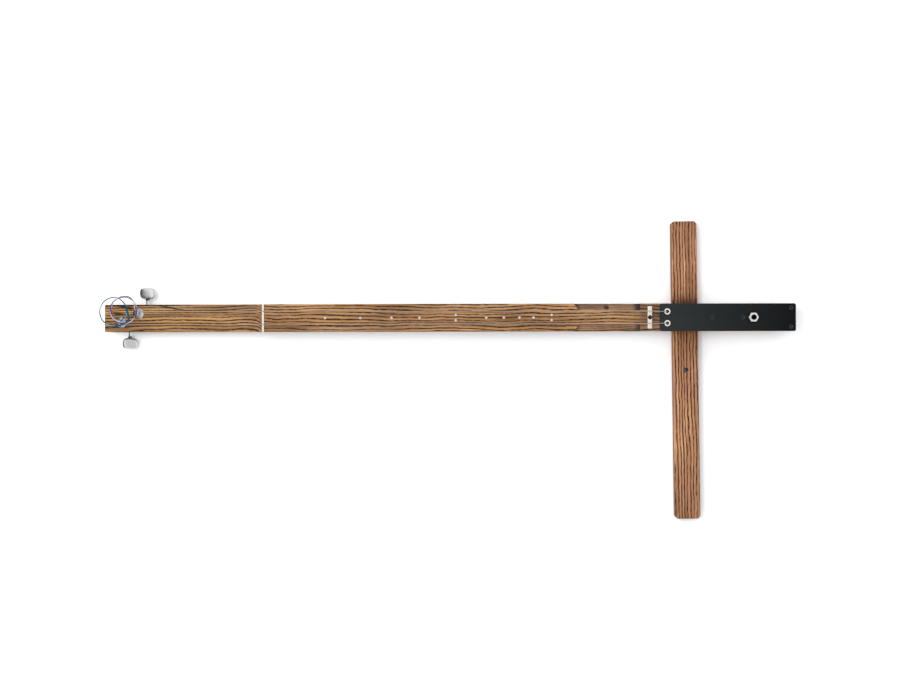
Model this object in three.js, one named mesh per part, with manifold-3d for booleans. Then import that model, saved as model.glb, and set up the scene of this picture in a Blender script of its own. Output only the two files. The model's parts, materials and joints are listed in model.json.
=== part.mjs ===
// Two-string electro-acoustic stick instrument with a swivelling leg rest.
// Millimetres. X runs along the stick from the head to the jack end, +Z is up, away from the leg rest.

import * as THREE from 'three';
import { mergeVertices } from 'three/addons/utils/BufferGeometryUtils.js';
import Module from 'manifold-3d';

const wasm = await Module();
wasm.setup();

// Wooden stick: its length follows from the head, the scale, the bridge and the cover plate
const stickWidth = 44.5;
const stickHeight = 32;
const stickEdge = 1.2;
const headThickness = 16;
const headRampLength = 16;
const headCorner = 2.5;
const nutX = 257.3;
const scaleLength = 615;
const scoopLength = 106.8;
const scoopFromBridge = 14.65;
const scoopDiagonal = 9;
const scoopInnerY = 10.8;
const scoopDrop = 12;

// Clearances
const fit = 0.2;
const snugFit = 0.15;
const swivelFit = 0.3;
const seatGap = 0.3;

// Leg rest
const restLength = 484;
const restWidth = 40.9;
const restThickness = 19;
const restCorner = 4;
const restEdge = 1.5;
const restTurn = 0.68;
const pivotInset = 46.3;
const pivotToCentre = 85.3;
const secondHoleRadius = 4.2;

// Bolt and insert of the swivel
const boltRadius = 4;
const boltHeadRadius = 6.5;
const boltHeadHeight = 6;
const counterboreRadius = 9.5;
const counterboreDepth = 9.5;
const washerThickness = 1.5;
const insertRadius = 6;
const insertLength = 15;

// Cover plate, with its screws set in from its left end and its corners
const plateFromBridge = 16.45;
const plateLength = 218.2;
const plateThickness = 2;
const plateCorner = 3;
const plateScrewInsets = [24.8, 83.8, 133.8];
const cornerInsetX = 7.5;
const cornerInsetY = 7.05;
const screwHeadRadius = 3.5;
const screwShankRadius = 1.5;
const screwLength = 14;

// Strings, nut and bridge
const stringRadius = 0.5;
const stringYAtNut = 10.5;
const stringYAtBridge = 10;
const stringLift = 0.3;
const nutWidth = 3.2;
const nutRise = 1.6;
const nutSeat = 2;
const nutSlotDepth = 0.9;
const bridgeWidth = 6.5;
const bridgeLength = 35.8;
const bridgeHeight = 9;
const bridgeCrest = 1.4;
const stringCompensation = 1.2;
const bridgeScrewHeadRadius = 3.4;
const bridgeScrewLength = 17;
const bridgeScrewSeat = 5.5;
const ferruleInset = 11.9;
const ferruleY = 9.4;
const ferruleFlangeRadius = 5;
const ferruleFlangeHeight = 1;
const ferruleBore = 2.2;
const ferruleShankRadius = 3.4;
const backCupRadius = 4.5;
const backCupDepth = 8.1;
const ballRadius = 1.9;

// Jack in its pocket
const jackInset = 150;
const jackBore = 3.25;
const jackThreadRadius = 4.75;
const jackBodyRadius = 7;
const jackBodyDepth = 27;
const jackNutAcross = 14;
const jackNutHeight = 2.4;
const jackWasherRadius = 9;
const jackWasherThickness = 1;
const pocketBefore = 10.8;
const pocketAfter = 33.6;
const pocketHalfWidth = 14;
const pocketDepth = 29;

// Pickup lead: its bend under the bridge, its way into the pocket and its slack beside the jack
const leadRadius = 0.9;
const leadY = 4.5;
const leadDepth = 5.5;
const leadWayRadius = 1.6;
const leadBend = [[0, 3.3], [0, 1.9], [0.8, 0.5], [2.2, 0]];
const leadEntry = [[1, 0, 0], [3.4, 2, -1.2]];
const leadSlack = [[-2, 10, 15.5], [8, 9, 8], [11, 4, 3], [9, 0, 1.4], [7.4, 0, 1.3]];

// Position dots let into the playing surface
const dotRadius = 2;
const dotDepth = 1.5;
const doubleDotY = 4.2;
const dotNumbers = [3, 5, 7, 9, 12, 15, 17, 19, 21, 24];

// Machine heads, written about the post's axis on the head's underside, with the button towards +Y
const postPlaces = [[54, 7.5, 1], [25.3, -6.9, -1]];
const wheelTeeth = 14;
const gearModule = 1;
const wormPitchRadius = 3.3;
const toothHalf = 0.66;
const toothAddendum = 0.85;
const toothDedendum = 1.2;
const wheelThickness = 5;
const wormZ = -7;
const wormHalfLength = 6.6;
const shaftRadius = 2;
const journalClearance = 0.3;
const housingDepth = 13;
const housingWall = 1.5;
const wheelSpace = 0.5;
const neckRadius = 2.85;
const neckEnd = 21.8;
const collarRadius = 3.25;
const collarLength = 2;
const collarStart = neckEnd + 0.3;
const buttonStart = collarStart + collarLength + 0.2;
const buttonLength = 18.6;
const buttonWidth = 25.2;
const buttonThickness = 7.6;
const buttonTurns = [4, 28];
const postRadius = 3;
const postWaist = 2.5;
const postRise = 14;
const bushingRadius = 4.8;
const hexAcross = 11;
const hexHeight = 3.4;
const postWasherRadius = 8.6;
const postWasherThickness = 0.9;
const wrapPitch = 1.5;
const wrapTurns = 2;
const tailRadius = 0.75;
const tailSwell = 0.9;
const lugY = -13.2;
const crownShare = 0.58;
const pressureAngle = 20;

// Free tails: the way out of each post as reach and rise, then the climb to a ring, the ring and its loose end
const tailWays = [100, 40];
const highLeave = [[-2, 0], [0, 0], [2.5, 0], [4.6, 0.9], [5.6, 4], [6.4, 8], [8.4, 10.7]];
const highApproach = [[52, 24.7, 57.3]];
const highRing = {
  centre: [35.8, 12.9], radiusX: 22.2, radiusY: 22.6, from: 66, to: 655, z: 57.4, climb: 3.8, shrink: 2.8,
};
const lowLeave = [[-2, 0], [0, 0], [2.5, 0], [5, 0.4], [9, 2.6]];
const lowApproach = [[37.6, 3.2, 51], [39.8, 11.5, 51.3], [36, 22.6, 51.5]];
const lowRing = {
  centre: [19.1, 10.5], radiusX: 23.3, radiusY: 23.3, from: 80, to: 300, z: 51.6, climb: 2.6, shrink: 0,
};
const lowEnd = [[36, -8.6, 54.2], [42.2, -3.2, 54.4], [41.3, 7.5, 54.6], [37.7, 16.8, 54.8]];

// Heights that follow from the sizes above
const stickBottom = restThickness + seatGap;
const stickTop = stickBottom + stickHeight;
const headTop = stickBottom + headThickness;
const plateTop = stickTop + plateThickness;
const bridgeTop = stickTop + bridgeHeight;
const gearCentre = wheelTeeth * gearModule / 2 + wormPitchRadius;
const halfWidth = stickWidth / 2;

// Places along the stick that follow from the sizes above
const fretZeroX = nutX + nutWidth / 2;
const bridgeX = fretZeroX + scaleLength + stringCompensation + bridgeWidth / 2 - bridgeCrest;
const scoopEnd = bridgeX - scoopFromBridge;
const scoopStart = scoopEnd - scoopLength;
const plateStart = bridgeX + plateFromBridge;
const stickLength = plateStart + plateLength;
const ferruleX = plateStart + ferruleInset;
const pivotX = plateStart + pivotInset;
const jackX = plateStart + jackInset;
const pocketStart = jackX - pocketBefore;
const pocketEnd = jackX + pocketAfter;

// Colours: name, sRGB colour, roughness, metalness
const finishes = {
  ash: ['#a4744e', 0.6, 0],
  restAsh: ['#a8785a', 0.6, 0],
  bone: ['#dcd6cc', 0.45, 0],
  pearl: ['#d9c4bb', 0.4, 0],
  blackPlate: ['#26292b', 0.45, 0],
  blackSteel: ['#17181a', 0.4, 0.8],
  nickel: ['#c9c2b6', 0.25, 1],
  chrome: ['#c6c8cc', 0.12, 1],
  brass: ['#b08d4a', 0.35, 1],
  nylon: ['#141414', 0.55, 0],
  wire: ['#b4b0aa', 0.35, 1],
  ceramic: ['#c8b48c', 0.5, 0],
  blueSilk: ['#4b7f93', 0.8, 0],
  purpleSilk: ['#6d5a7d', 0.8, 0],
};

const assembly = new THREE.Group();

// Turns a closed geometry outward where its faces point in.
function outward(geometry) {
  const place = geometry.attributes.position;
  const order = geometry.index.array;
  const [a, b, c] = [new THREE.Vector3(), new THREE.Vector3(), new THREE.Vector3()];
  let volume = 0;
  for (let i = 0; i < order.length; i += 3) {
    a.fromBufferAttribute(place, order[i]);
    b.fromBufferAttribute(place, order[i + 1]);
    c.fromBufferAttribute(place, order[i + 2]);
    volume += a.dot(b.cross(c));
  }
  if (volume < 0) {
    for (let i = 0; i < order.length; i += 3) {
      [order[i + 1], order[i + 2]] = [order[i + 2], order[i + 1]];
    }
  }
  return geometry;
}

// A closed geometry as a solid that can be cut and joined.
function solid(geometry) {
  const bare = geometry.clone();
  bare.deleteAttribute('normal');
  bare.deleteAttribute('uv');
  const merged = outward(mergeVertices(bare, 1e-5));
  return new wasm.Manifold(new wasm.Mesh({
    numProp: 3,
    vertProperties: new Float32Array(merged.attributes.position.array),
    triVerts: new Uint32Array(merged.index.array),
  }));
}

// Names a finished solid, gives it its finish and puts it in a group.
function addPiece(name, body, finish, parent = assembly) {
  const faces = body.getMesh();
  const geometry = new THREE.BufferGeometry();
  geometry.setAttribute('position', new THREE.Float32BufferAttribute(faces.vertProperties, 3));
  geometry.setIndex(new THREE.Uint32BufferAttribute(faces.triVerts, 1));
  geometry.computeVertexNormals();
  const [color, roughness, metalness] = finishes[finish];
  const material = new THREE.MeshStandardMaterial({ color, roughness, metalness });
  const mesh = new THREE.Mesh(geometry, material);
  mesh.name = name;
  parent.add(mesh);
  return mesh;
}

// A revolved solid about Z from [radius, height] pairs that start and end on the axis or close.
function turned(profile, sides = 18) {
  const points = profile.map(([r, z]) => new THREE.Vector2(r, z));
  const geometry = new THREE.LatheGeometry(points, sides);
  geometry.rotateX(Math.PI / 2);
  return solid(geometry);
}

function rod(radius, low, high, sides = 18) {
  return turned([[0, low], [radius, low], [radius, high], [0, high]], sides);
}

function ring(inner, outer, low, high, sides = 18) {
  return turned([[inner, low], [outer, low], [outer, high], [inner, high], [inner, low]], sides);
}

function block(x0, x1, y0, y1, z0, z1) {
  const box = new THREE.BoxGeometry(x1 - x0, y1 - y0, z1 - z0);
  box.translate((x0 + x1) / 2, (y0 + y1) / 2, (z0 + z1) / 2);
  return solid(box);
}

// An outline in XY raised from one height to another.
function raised(shape, low, high, curveSegments = 6) {
  const geometry = new THREE.ExtrudeGeometry(shape, { depth: high - low, bevelEnabled: false, curveSegments });
  geometry.translate(0, 0, low);
  return solid(geometry);
}

// An outline in XZ drawn as XY and carried along Y.
function carriedAlongY(shape, from, to, curveSegments = 6) {
  const geometry = new THREE.ExtrudeGeometry(shape, { depth: to - from, bevelEnabled: false, curveSegments });
  geometry.rotateX(Math.PI / 2);
  geometry.translate(0, to, 0);
  return solid(geometry);
}

function roundedOutline(x0, x1, y0, y1, radius) {
  const shape = new THREE.Shape();
  shape.moveTo(x0 + radius, y0);
  shape.lineTo(x1 - radius, y0);
  shape.absarc(x1 - radius, y0 + radius, radius, -Math.PI / 2, 0);
  shape.lineTo(x1, y1 - radius);
  shape.absarc(x1 - radius, y1 - radius, radius, 0, Math.PI / 2);
  shape.lineTo(x0 + radius, y1);
  shape.absarc(x0 + radius, y1 - radius, radius, Math.PI / 2, Math.PI);
  shape.lineTo(x0, y0 + radius);
  shape.absarc(x0 + radius, y0 + radius, radius, Math.PI, 1.5 * Math.PI);
  return shape;
}

function polygonOutline(points) {
  return new THREE.Shape(points.map(([x, y]) => new THREE.Vector2(x, y)));
}

function hexagon(across, start = 0) {
  const corner = across / Math.sqrt(3);
  const points = [];
  for (let i = 0; i < 6; i += 1) {
    const angle = start + i * Math.PI / 3;
    points.push([corner * Math.cos(angle), corner * Math.sin(angle)]);
  }
  return polygonOutline(points);
}

// A tube through given points with a radius at each, closed by flat ends.
function tubeThrough(points, radiusAt, sides) {
  const corners = [];
  const tangents = points.map((point, i) => {
    const before = points[Math.max(i - 1, 0)];
    const after = points[Math.min(i + 1, points.length - 1)];
    return after.clone().sub(before).normalize();
  });
  const helper = Math.abs(tangents[0].z) < 0.9 ? new THREE.Vector3(0, 0, 1) : new THREE.Vector3(1, 0, 0);
  const across = helper.clone().cross(tangents[0]).normalize();
  points.forEach((point, i) => {
    across.addScaledVector(tangents[i], -across.dot(tangents[i])).normalize();
    const up = tangents[i].clone().cross(across);
    for (let k = 0; k < sides; k += 1) {
      const angle = 2 * Math.PI * k / sides;
      const spoke = across.clone().multiplyScalar(Math.cos(angle)).addScaledVector(up, Math.sin(angle));
      const corner = point.clone().addScaledVector(spoke, radiusAt(i));
      corners.push(corner.x, corner.y, corner.z);
    }
  });
  const faces = [];
  for (let i = 0; i < points.length - 1; i += 1) {
    for (let k = 0; k < sides; k += 1) {
      const next = (k + 1) % sides;
      const [a, b] = [i * sides + k, i * sides + next];
      faces.push(a, b, b + sides, a, b + sides, a + sides);
    }
  }
  const last = (points.length - 1) * sides;
  for (let k = 1; k < sides - 1; k += 1) {
    faces.push(0, k + 1, k, last, last + k, last + k + 1);
  }
  const geometry = new THREE.BufferGeometry();
  geometry.setAttribute('position', new THREE.Float32BufferAttribute(corners, 3));
  geometry.setIndex(faces);
  return solid(geometry);
}

// The least clear gap between turns of a wound tube, measured on its points.
function leastSelfGap(points, radiusAt) {
  const along = [0];
  for (let i = 1; i < points.length; i += 1) {
    along.push(along[i - 1] + points[i].distanceTo(points[i - 1]));
  }
  let least = Infinity;
  for (let i = 0; i < points.length; i += 1) {
    for (let j = i + 1; j < points.length; j += 1) {
      const reach = radiusAt(i) + radiusAt(j);
      if (along[j] - along[i] > 4 * reach) {
        least = Math.min(least, points[i].distanceTo(points[j]) - reach);
      }
    }
  }
  return least;
}

function point(x, y, z) {
  return new THREE.Vector3(x, y, z);
}

function dotPlaces() {
  const places = [];
  for (const number of dotNumbers) {
    const x = fretZeroX + scaleLength * (1 - 2 ** (-number / 12));
    if (number % 12 === 0) {
      places.push([`dot_${number}_upper`, x, doubleDotY], [`dot_${number}_lower`, x, -doubleDotY]);
    } else {
      places.push([`dot_${number}`, x, 0]);
    }
  }
  return places;
}

function plateScrewPlaces() {
  const cornerX = stickLength - cornerInsetX;
  const cornerY = halfWidth - cornerInsetY;
  const along = plateScrewInsets.map((inset) => [plateStart + inset, 0]);
  return [...along, [cornerX, cornerY], [cornerX, -cornerY]].map(([x, y], i) => [`plate_screw_${i + 1}`, x, y]);
}

// The cove of a bow scoop: a facet that falls from the inner edge to the side, with a slanted head end.
function scoopCutter(side) {
  const inner = scoopInnerY;
  const outer = halfWidth + 4;
  const slope = scoopDrop / (halfWidth - inner);
  const low = -slope * (outer - inner);
  const face = polygonOutline([[inner, 0], [outer, low], [outer, 4], [inner, 4]]);
  const geometry = new THREE.ExtrudeGeometry(face, { depth: 1, bevelEnabled: false });
  const place = geometry.attributes.position;
  for (let i = 0; i < place.count; i += 1) {
    const [y, z, share] = [place.getX(i), place.getY(i), place.getZ(i)];
    const reach = (y - inner) / (halfWidth - inner);
    const start = scoopStart + scoopDiagonal * (1 - reach) - 0.25 * z;
    const end = scoopEnd + 0.15 * z;
    place.setXYZ(i, start + share * (end - start), side * y, stickTop + z);
  }
  return solid(geometry);
}

function makeStick() {
  const half = halfWidth;
  const section = polygonOutline([
    [-half + stickEdge, 0], [half - stickEdge, 0], [half, stickEdge], [half, stickHeight - stickEdge],
    [half - stickEdge, stickHeight], [-half + stickEdge, stickHeight], [-half, stickHeight - stickEdge],
    [-half, stickEdge],
  ]);
  const bar = new THREE.ExtrudeGeometry(section, { depth: stickLength, bevelEnabled: false });
  bar.rotateX(Math.PI / 2);
  bar.rotateZ(Math.PI / 2);
  bar.translate(0, 0, stickBottom);
  let body = solid(bar);

  const rampEnd = nutX - nutWidth / 2;
  const headCut = new THREE.Shape();
  headCut.moveTo(-1, headTop);
  headCut.lineTo(rampEnd - headRampLength, headTop);
  headCut.quadraticCurveTo(rampEnd - 1, headTop, rampEnd, stickTop);
  headCut.lineTo(rampEnd, stickTop + 1);
  headCut.lineTo(-1, stickTop + 1);
  body = body.subtract(carriedAlongY(headCut, -half - 1, half + 1, 8));

  const [seatStart, seatEnd] = [rampEnd - 0.1, rampEnd + nutWidth + 0.1];
  body = body.subtract(block(seatStart, seatEnd, -half - 1, half + 1, stickTop - nutSeat, stickTop + 1));
  for (const side of [-1, 1]) {
    const bevel = polygonOutline([[half - stickEdge, 0.01], [half + 1, 0.01], [half + 1, -stickEdge - 1]]);
    const flatLength = rampEnd - headRampLength + 1;
    const strip = new THREE.ExtrudeGeometry(bevel, { depth: flatLength, bevelEnabled: false });
    strip.rotateX(Math.PI / 2);
    strip.rotateZ(Math.PI / 2);
    strip.translate(-1, 0, headTop);
    if (side < 0) {
      strip.scale(1, -1, 1);
    }
    body = body.subtract(solid(strip));
    const edge = side * half;
    const outside = edge + side;
    const corner = polygonOutline([[-1, outside], [headCorner, outside], [-1, edge - headCorner * side]]);
    body = body.subtract(raised(corner, 0, stickTop + 1));
    body = body.subtract(scoopCutter(side));
  }

  for (const [, x, y] of dotPlaces()) {
    const seat = rod(dotRadius + snugFit, stickTop - dotDepth - snugFit, stickTop + 1, 12);
    body = body.subtract(seat.translate([x, y, 0]));
  }

  // Pickup slot, bridge screw pilot and the drilled way for the pickup's lead
  body = body.subtract(block(...pickupSpan(0.25), stickTop - 2, stickTop + 1));
  body = body.subtract(rod(1.75, stickTop - 15, stickTop + 1, 12).translate([bridgeX, 0, 0]));
  const leadWay = rod(leadWayRadius, bridgeX - 1, pocketStart + 1, 12).rotate([0, 90, 0]);
  body = body.subtract(leadWay.translate([0, leadY, stickTop - leadDepth]));
  const leadDrop = rod(leadWayRadius, stickTop - leadDepth, stickTop + 1, 12);
  body = body.subtract(leadDrop.translate([bridgeX, leadY, 0]));

  for (const side of [-1, 1]) {
    const bore = turned([
      [0, stickBottom - 1], [backCupRadius + fit, stickBottom - 1],
      [backCupRadius + fit, stickBottom + backCupDepth + fit], [2, stickBottom + backCupDepth + fit],
      [2, stickTop - 3], [ferruleShankRadius + fit, stickTop - 3], [ferruleShankRadius + fit, stickTop + 1],
      [0, stickTop + 1],
    ]);
    body = body.subtract(bore.translate([ferruleX, side * ferruleY, 0]));
  }
  for (const [, x, y] of plateScrewPlaces()) {
    const pilot = rod(screwShankRadius + 0.5, stickTop - screwLength, stickTop + 1, 12);
    body = body.subtract(pilot.translate([x, y, 0]));
  }
  const pocket = roundedOutline(pocketStart, pocketEnd, -pocketHalfWidth, pocketHalfWidth, 6);
  body = body.subtract(raised(pocket, stickTop - pocketDepth, stickTop + 1, 4));
  const insertBore = rod(insertRadius + snugFit, stickBottom - 1, stickBottom + insertLength + 1, 18);
  body = body.subtract(insertBore.translate([pivotX, 0, 0]));

  for (const [x, y, side] of postPlaces) {
    const bushingBore = rod(bushingRadius + fit, stickBottom - 1, headTop + 1, 18);
    const mountPilot = rod(1.4, stickBottom - 1, stickBottom + 9, 12);
    body = body.subtract(bushingBore.translate([x, y, 0]));
    body = body.subtract(mountPilot.translate([x, y + side * lugY, 0]));
  }
  return body;
}

function pickupSpan(clearance) {
  const [halfX, halfY] = [2.4 + clearance, 15 + clearance];
  return [bridgeX - halfX, bridgeX + halfX, -halfY, halfY];
}

function makeNut() {
  const [left, right] = [nutX - nutWidth / 2, nutX + nutWidth / 2];
  const low = stickTop - nutSeat + 0.1;
  const high = stickTop + nutRise;
  const side = polygonOutline([
    [left, low], [right, low], [right, high - 0.2],
    [right - 0.8, high], [left + 0.8, high - 0.6], [left, high - 1.2],
  ]);
  let body = carriedAlongY(side, -halfWidth, halfWidth);
  for (const y of [-stringYAtNut, stringYAtNut]) {
    body = body.subtract(block(left - 1, right + 1, y - 0.8, y + 0.8, high - nutSlotDepth, high + 1));
  }
  return body;
}

function makeBridge() {
  const [left, right] = [bridgeX - bridgeWidth / 2, bridgeX + bridgeWidth / 2];
  const low = stickTop + 0.2;
  const side = polygonOutline([
    [left, low], [right, low], [right, bridgeTop - 1.9],
    [left + bridgeCrest, bridgeTop], [left + 0.5, bridgeTop - 0.2], [left, bridgeTop - 0.8],
  ]);
  const blank = carriedAlongY(side, -bridgeLength / 2, bridgeLength / 2);
  const plan = roundedOutline(left - 1, right + 1, -bridgeLength / 2, bridgeLength / 2, 2.5);
  const hole = turned([
    [0, low - 1], [1.8, low - 1], [1.8, bridgeTop - bridgeScrewSeat],
    [bridgeScrewHeadRadius + 0.1, bridgeTop - bridgeScrewSeat], [bridgeScrewHeadRadius + 0.1, bridgeTop + 1],
    [0, bridgeTop + 1],
  ], 16);
  return blank.intersect(raised(plan, low - 1, bridgeTop + 1, 3)).subtract(hole.translate([bridgeX, 0, 0]));
}

// A cap screw with a hexagon socket, head at the top.
function socketScrew(headRadius, headHeight, shankRadius, length, socket, sides = 14) {
  const body = turned([
    [0, -length], [shankRadius * 0.6, -length], [shankRadius, -length + 1.2], [shankRadius, 0],
    [headRadius, 0], [headRadius, headHeight - 0.4], [headRadius - 0.4, headHeight], [0, headHeight],
  ], sides);
  return body.subtract(raised(hexagon(socket), headHeight * 0.45, headHeight + 1));
}

// A countersunk screw whose flat head ends at height zero.
function countersunkScrew(sides = 14) {
  const cone = screwHeadRadius - screwShankRadius;
  const body = turned([
    [0, -screwLength + 1], [screwShankRadius * 0.5, -screwLength + 1], [screwShankRadius, -screwLength + 3],
    [screwShankRadius, -cone - 0.3], [screwHeadRadius, -0.3], [screwHeadRadius, 0], [0, 0],
  ], sides);
  return body.subtract(raised(hexagon(2.6), -1.4, 1));
}

function makeCoverPlate() {
  const outline = roundedOutline(plateStart, stickLength, -halfWidth, halfWidth, plateCorner);
  const bevel = 0.4;
  const geometry = new THREE.ExtrudeGeometry(outline, {
    depth: plateThickness - bevel, bevelThickness: bevel, bevelSize: bevel, bevelOffset: -bevel,
    bevelSegments: 1, curveSegments: 5,
  });
  geometry.translate(0, 0, stickTop);
  const lower = block(plateStart - 1, stickLength + 1, -halfWidth - 1, halfWidth + 1, stickTop - 1, stickTop);
  let body = solid(geometry).subtract(lower);
  const cone = screwHeadRadius - screwShankRadius;
  for (const [, x, y] of plateScrewPlaces()) {
    const sink = turned([
      [0, stickTop - 1], [screwShankRadius + fit, stickTop - 1],
      [screwShankRadius + fit, plateTop - cone - 0.3],
      [screwHeadRadius + fit, plateTop - 0.35], [screwHeadRadius + fit, plateTop + 1], [0, plateTop + 1],
    ], 16);
    body = body.subtract(sink.translate([x, y, 0]));
  }
  for (const side of [-1, 1]) {
    const hole = rod(ferruleShankRadius + fit, stickTop - 1, plateTop + 1, 18);
    body = body.subtract(hole.translate([ferruleX, side * ferruleY, 0]));
  }
  return body.subtract(rod(jackThreadRadius + fit, stickTop - 1, plateTop + 1, 18).translate([jackX, 0, 0]));
}

function makeFerrule() {
  const low = stickTop - 2.6;
  const top = plateTop + ferruleFlangeHeight;
  return turned([
    [ferruleBore, low], [ferruleShankRadius, low], [ferruleShankRadius, plateTop],
    [ferruleFlangeRadius, plateTop], [ferruleFlangeRadius, top - 0.3], [ferruleFlangeRadius - 0.4, top],
    [ferruleBore + 0.4, top], [ferruleBore, top - 0.4], [ferruleBore, low],
  ], 18);
}

// The cup in the underside that a string's ball end pulls against.
function makeBackFerrule() {
  const low = stickBottom - 0.1;
  const top = low + backCupDepth;
  return turned([
    [2.4, low], [backCupRadius, low], [backCupRadius, top], [1.2, top],
    [1.2, top - 1.5], [2.4, top - 1.5], [2.4, low],
  ], 16);
}

function stringRoute(side) {
  const post = postPlaces[side > 0 ? 0 : 1];
  const y = side * ferruleY;
  const lift = bridgeTop + stringLift + stringRadius;
  const nutHeight = stickTop + nutRise - nutSlotDepth + stringLift + stringRadius;
  const crest = bridgeX - bridgeWidth / 2 + bridgeCrest;
  const route = [
    point(ferruleX, y, stickBottom + 5.4), point(ferruleX, y, stickBottom + 12),
    point(ferruleX, y, stickTop - 2), point(ferruleX, y, plateTop + 0.6),
    point(ferruleX - 0.4, y, plateTop + 1.7),
    point(ferruleX - 1.4, y, plateTop + 2.4), point(ferruleX - 3.2, y, plateTop + 2.8),
    point(crest + 0.8, side * stringYAtBridge, lift - 0.1), point(crest - 0.8, side * stringYAtBridge, lift),
    point(nutX + 1, side * stringYAtNut, nutHeight), point(nutX - 1, side * stringYAtNut, nutHeight - 0.1),
  ];
  const [postX, postY, turn] = post;
  const wrapRadius = postWaist + 0.35 + stringRadius;
  const firstZ = headTop + postWasherThickness + hexHeight + 2.1;
  route.push(point(postX + 14, postY + side * wrapRadius, firstZ + 0.5));
  const steps = Math.round(wrapTurns * 24);
  for (let i = 0; i <= steps; i += 1) {
    const angle = side * (Math.PI / 2 + turn * side * 2 * Math.PI * i / 24);
    const x = postX + wrapRadius * Math.cos(angle);
    route.push(point(x, postY + wrapRadius * Math.sin(angle), firstZ + wrapPitch * i / 24));
  }
  return route;
}

function makeString(side) {
  const route = stringRoute(side);
  const gap = leastSelfGap(route, () => stringRadius);
  console.log(`string ${side > 0 ? 1 : 2} least gap between its turns: ${gap.toFixed(2)} mm`);
  const wire = tubeThrough(route, () => stringRadius, 6);
  const ball = rod(ballRadius, -1.3, 1.3, 12).rotate([0, 90, 0]);
  return wire.add(ball.translate([ferruleX, side * ferruleY, stickBottom + 4.4]));
}

function makeJackBody() {
  const top = plateTop + jackWasherThickness + jackNutHeight + 0.8;
  const low = stickTop - jackBodyDepth;
  const shoulder = jackThreadRadius + 3;
  return turned([
    [0, low], [jackBodyRadius - 0.6, low], [jackBodyRadius, low + 0.6], [jackBodyRadius, stickTop - 3],
    [shoulder, stickTop - 3], [shoulder, stickTop - fit], [jackThreadRadius, stickTop - fit],
    [jackThreadRadius, top - 0.4], [jackThreadRadius - 0.4, top], [jackBore + 0.4, top], [jackBore, top - 0.4],
    [jackBore, low + 1.5], [0, low + 1.5],
  ], 18);
}

function makeJackNut() {
  const low = plateTop + jackWasherThickness;
  const top = low + jackNutHeight;
  const crownRadius = jackNutAcross * crownShare;
  const crown = turned([
    [0, low], [crownRadius, low], [crownRadius, top - 0.7], [jackNutAcross / 2, top], [0, top],
  ], 18);
  const hex = raised(hexagon(jackNutAcross, Math.PI / 6), low, top);
  return hex.intersect(crown).subtract(rod(jackThreadRadius + snugFit, low - 1, top + 1, 18));
}

function makeLead() {
  const level = stickTop - leadDepth;
  const contact = stickTop - jackBodyDepth;
  const route = [
    ...leadBend.map(([x, z]) => point(bridgeX + x, leadY, level + z)),
    point((bridgeX + pocketStart) / 2, leadY, level),
    ...leadEntry.map(([x, y, z]) => point(pocketStart + x, leadY + y, level + z)),
    ...leadSlack.map(([x, y, z]) => point(jackX + x, y, contact + z)),
  ];
  return tubeThrough(route, () => leadRadius, 8);
}

// The swivelling bar, drawn about its own middle and then set on its pivot.
function makeLegRest() {
  const [halfX, halfY] = [restWidth / 2, restLength / 2];
  const outline = polygonOutline([
    [-halfX + restCorner, -halfY], [halfX - restCorner, -halfY], [halfX, -halfY + restCorner],
    [halfX, halfY - restCorner], [halfX - restCorner, halfY], [-halfX + restCorner, halfY],
    [-halfX, halfY - restCorner], [-halfX, -halfY + restCorner],
  ]);
  const geometry = new THREE.ExtrudeGeometry(outline, {
    depth: restThickness - 2 * restEdge, bevelThickness: restEdge, bevelSize: restEdge, bevelOffset: -restEdge,
    bevelSegments: 2,
  });
  geometry.translate(0, -pivotToCentre, restEdge);
  let body = solid(geometry);
  for (const [y, radius] of [[0, boltRadius + swivelFit], [-pivotToCentre, secondHoleRadius]]) {
    const hole = turned([
      [0, -1], [counterboreRadius, -1], [counterboreRadius, counterboreDepth], [radius, counterboreDepth],
      [radius, restThickness + 1], [0, restThickness + 1],
    ], 18);
    body = body.subtract(hole.translate([0, y, 0]));
  }
  return body;
}

function makeBolt() {
  const seat = counterboreDepth - washerThickness - 0.6;
  const length = stickBottom + insertLength - 2 - seat;
  return socketScrew(boltHeadRadius, boltHeadHeight, boltRadius, length, 6, 18)
    .rotate([180, 0, 0]).translate([pivotX, 0, seat]);
}

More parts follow.
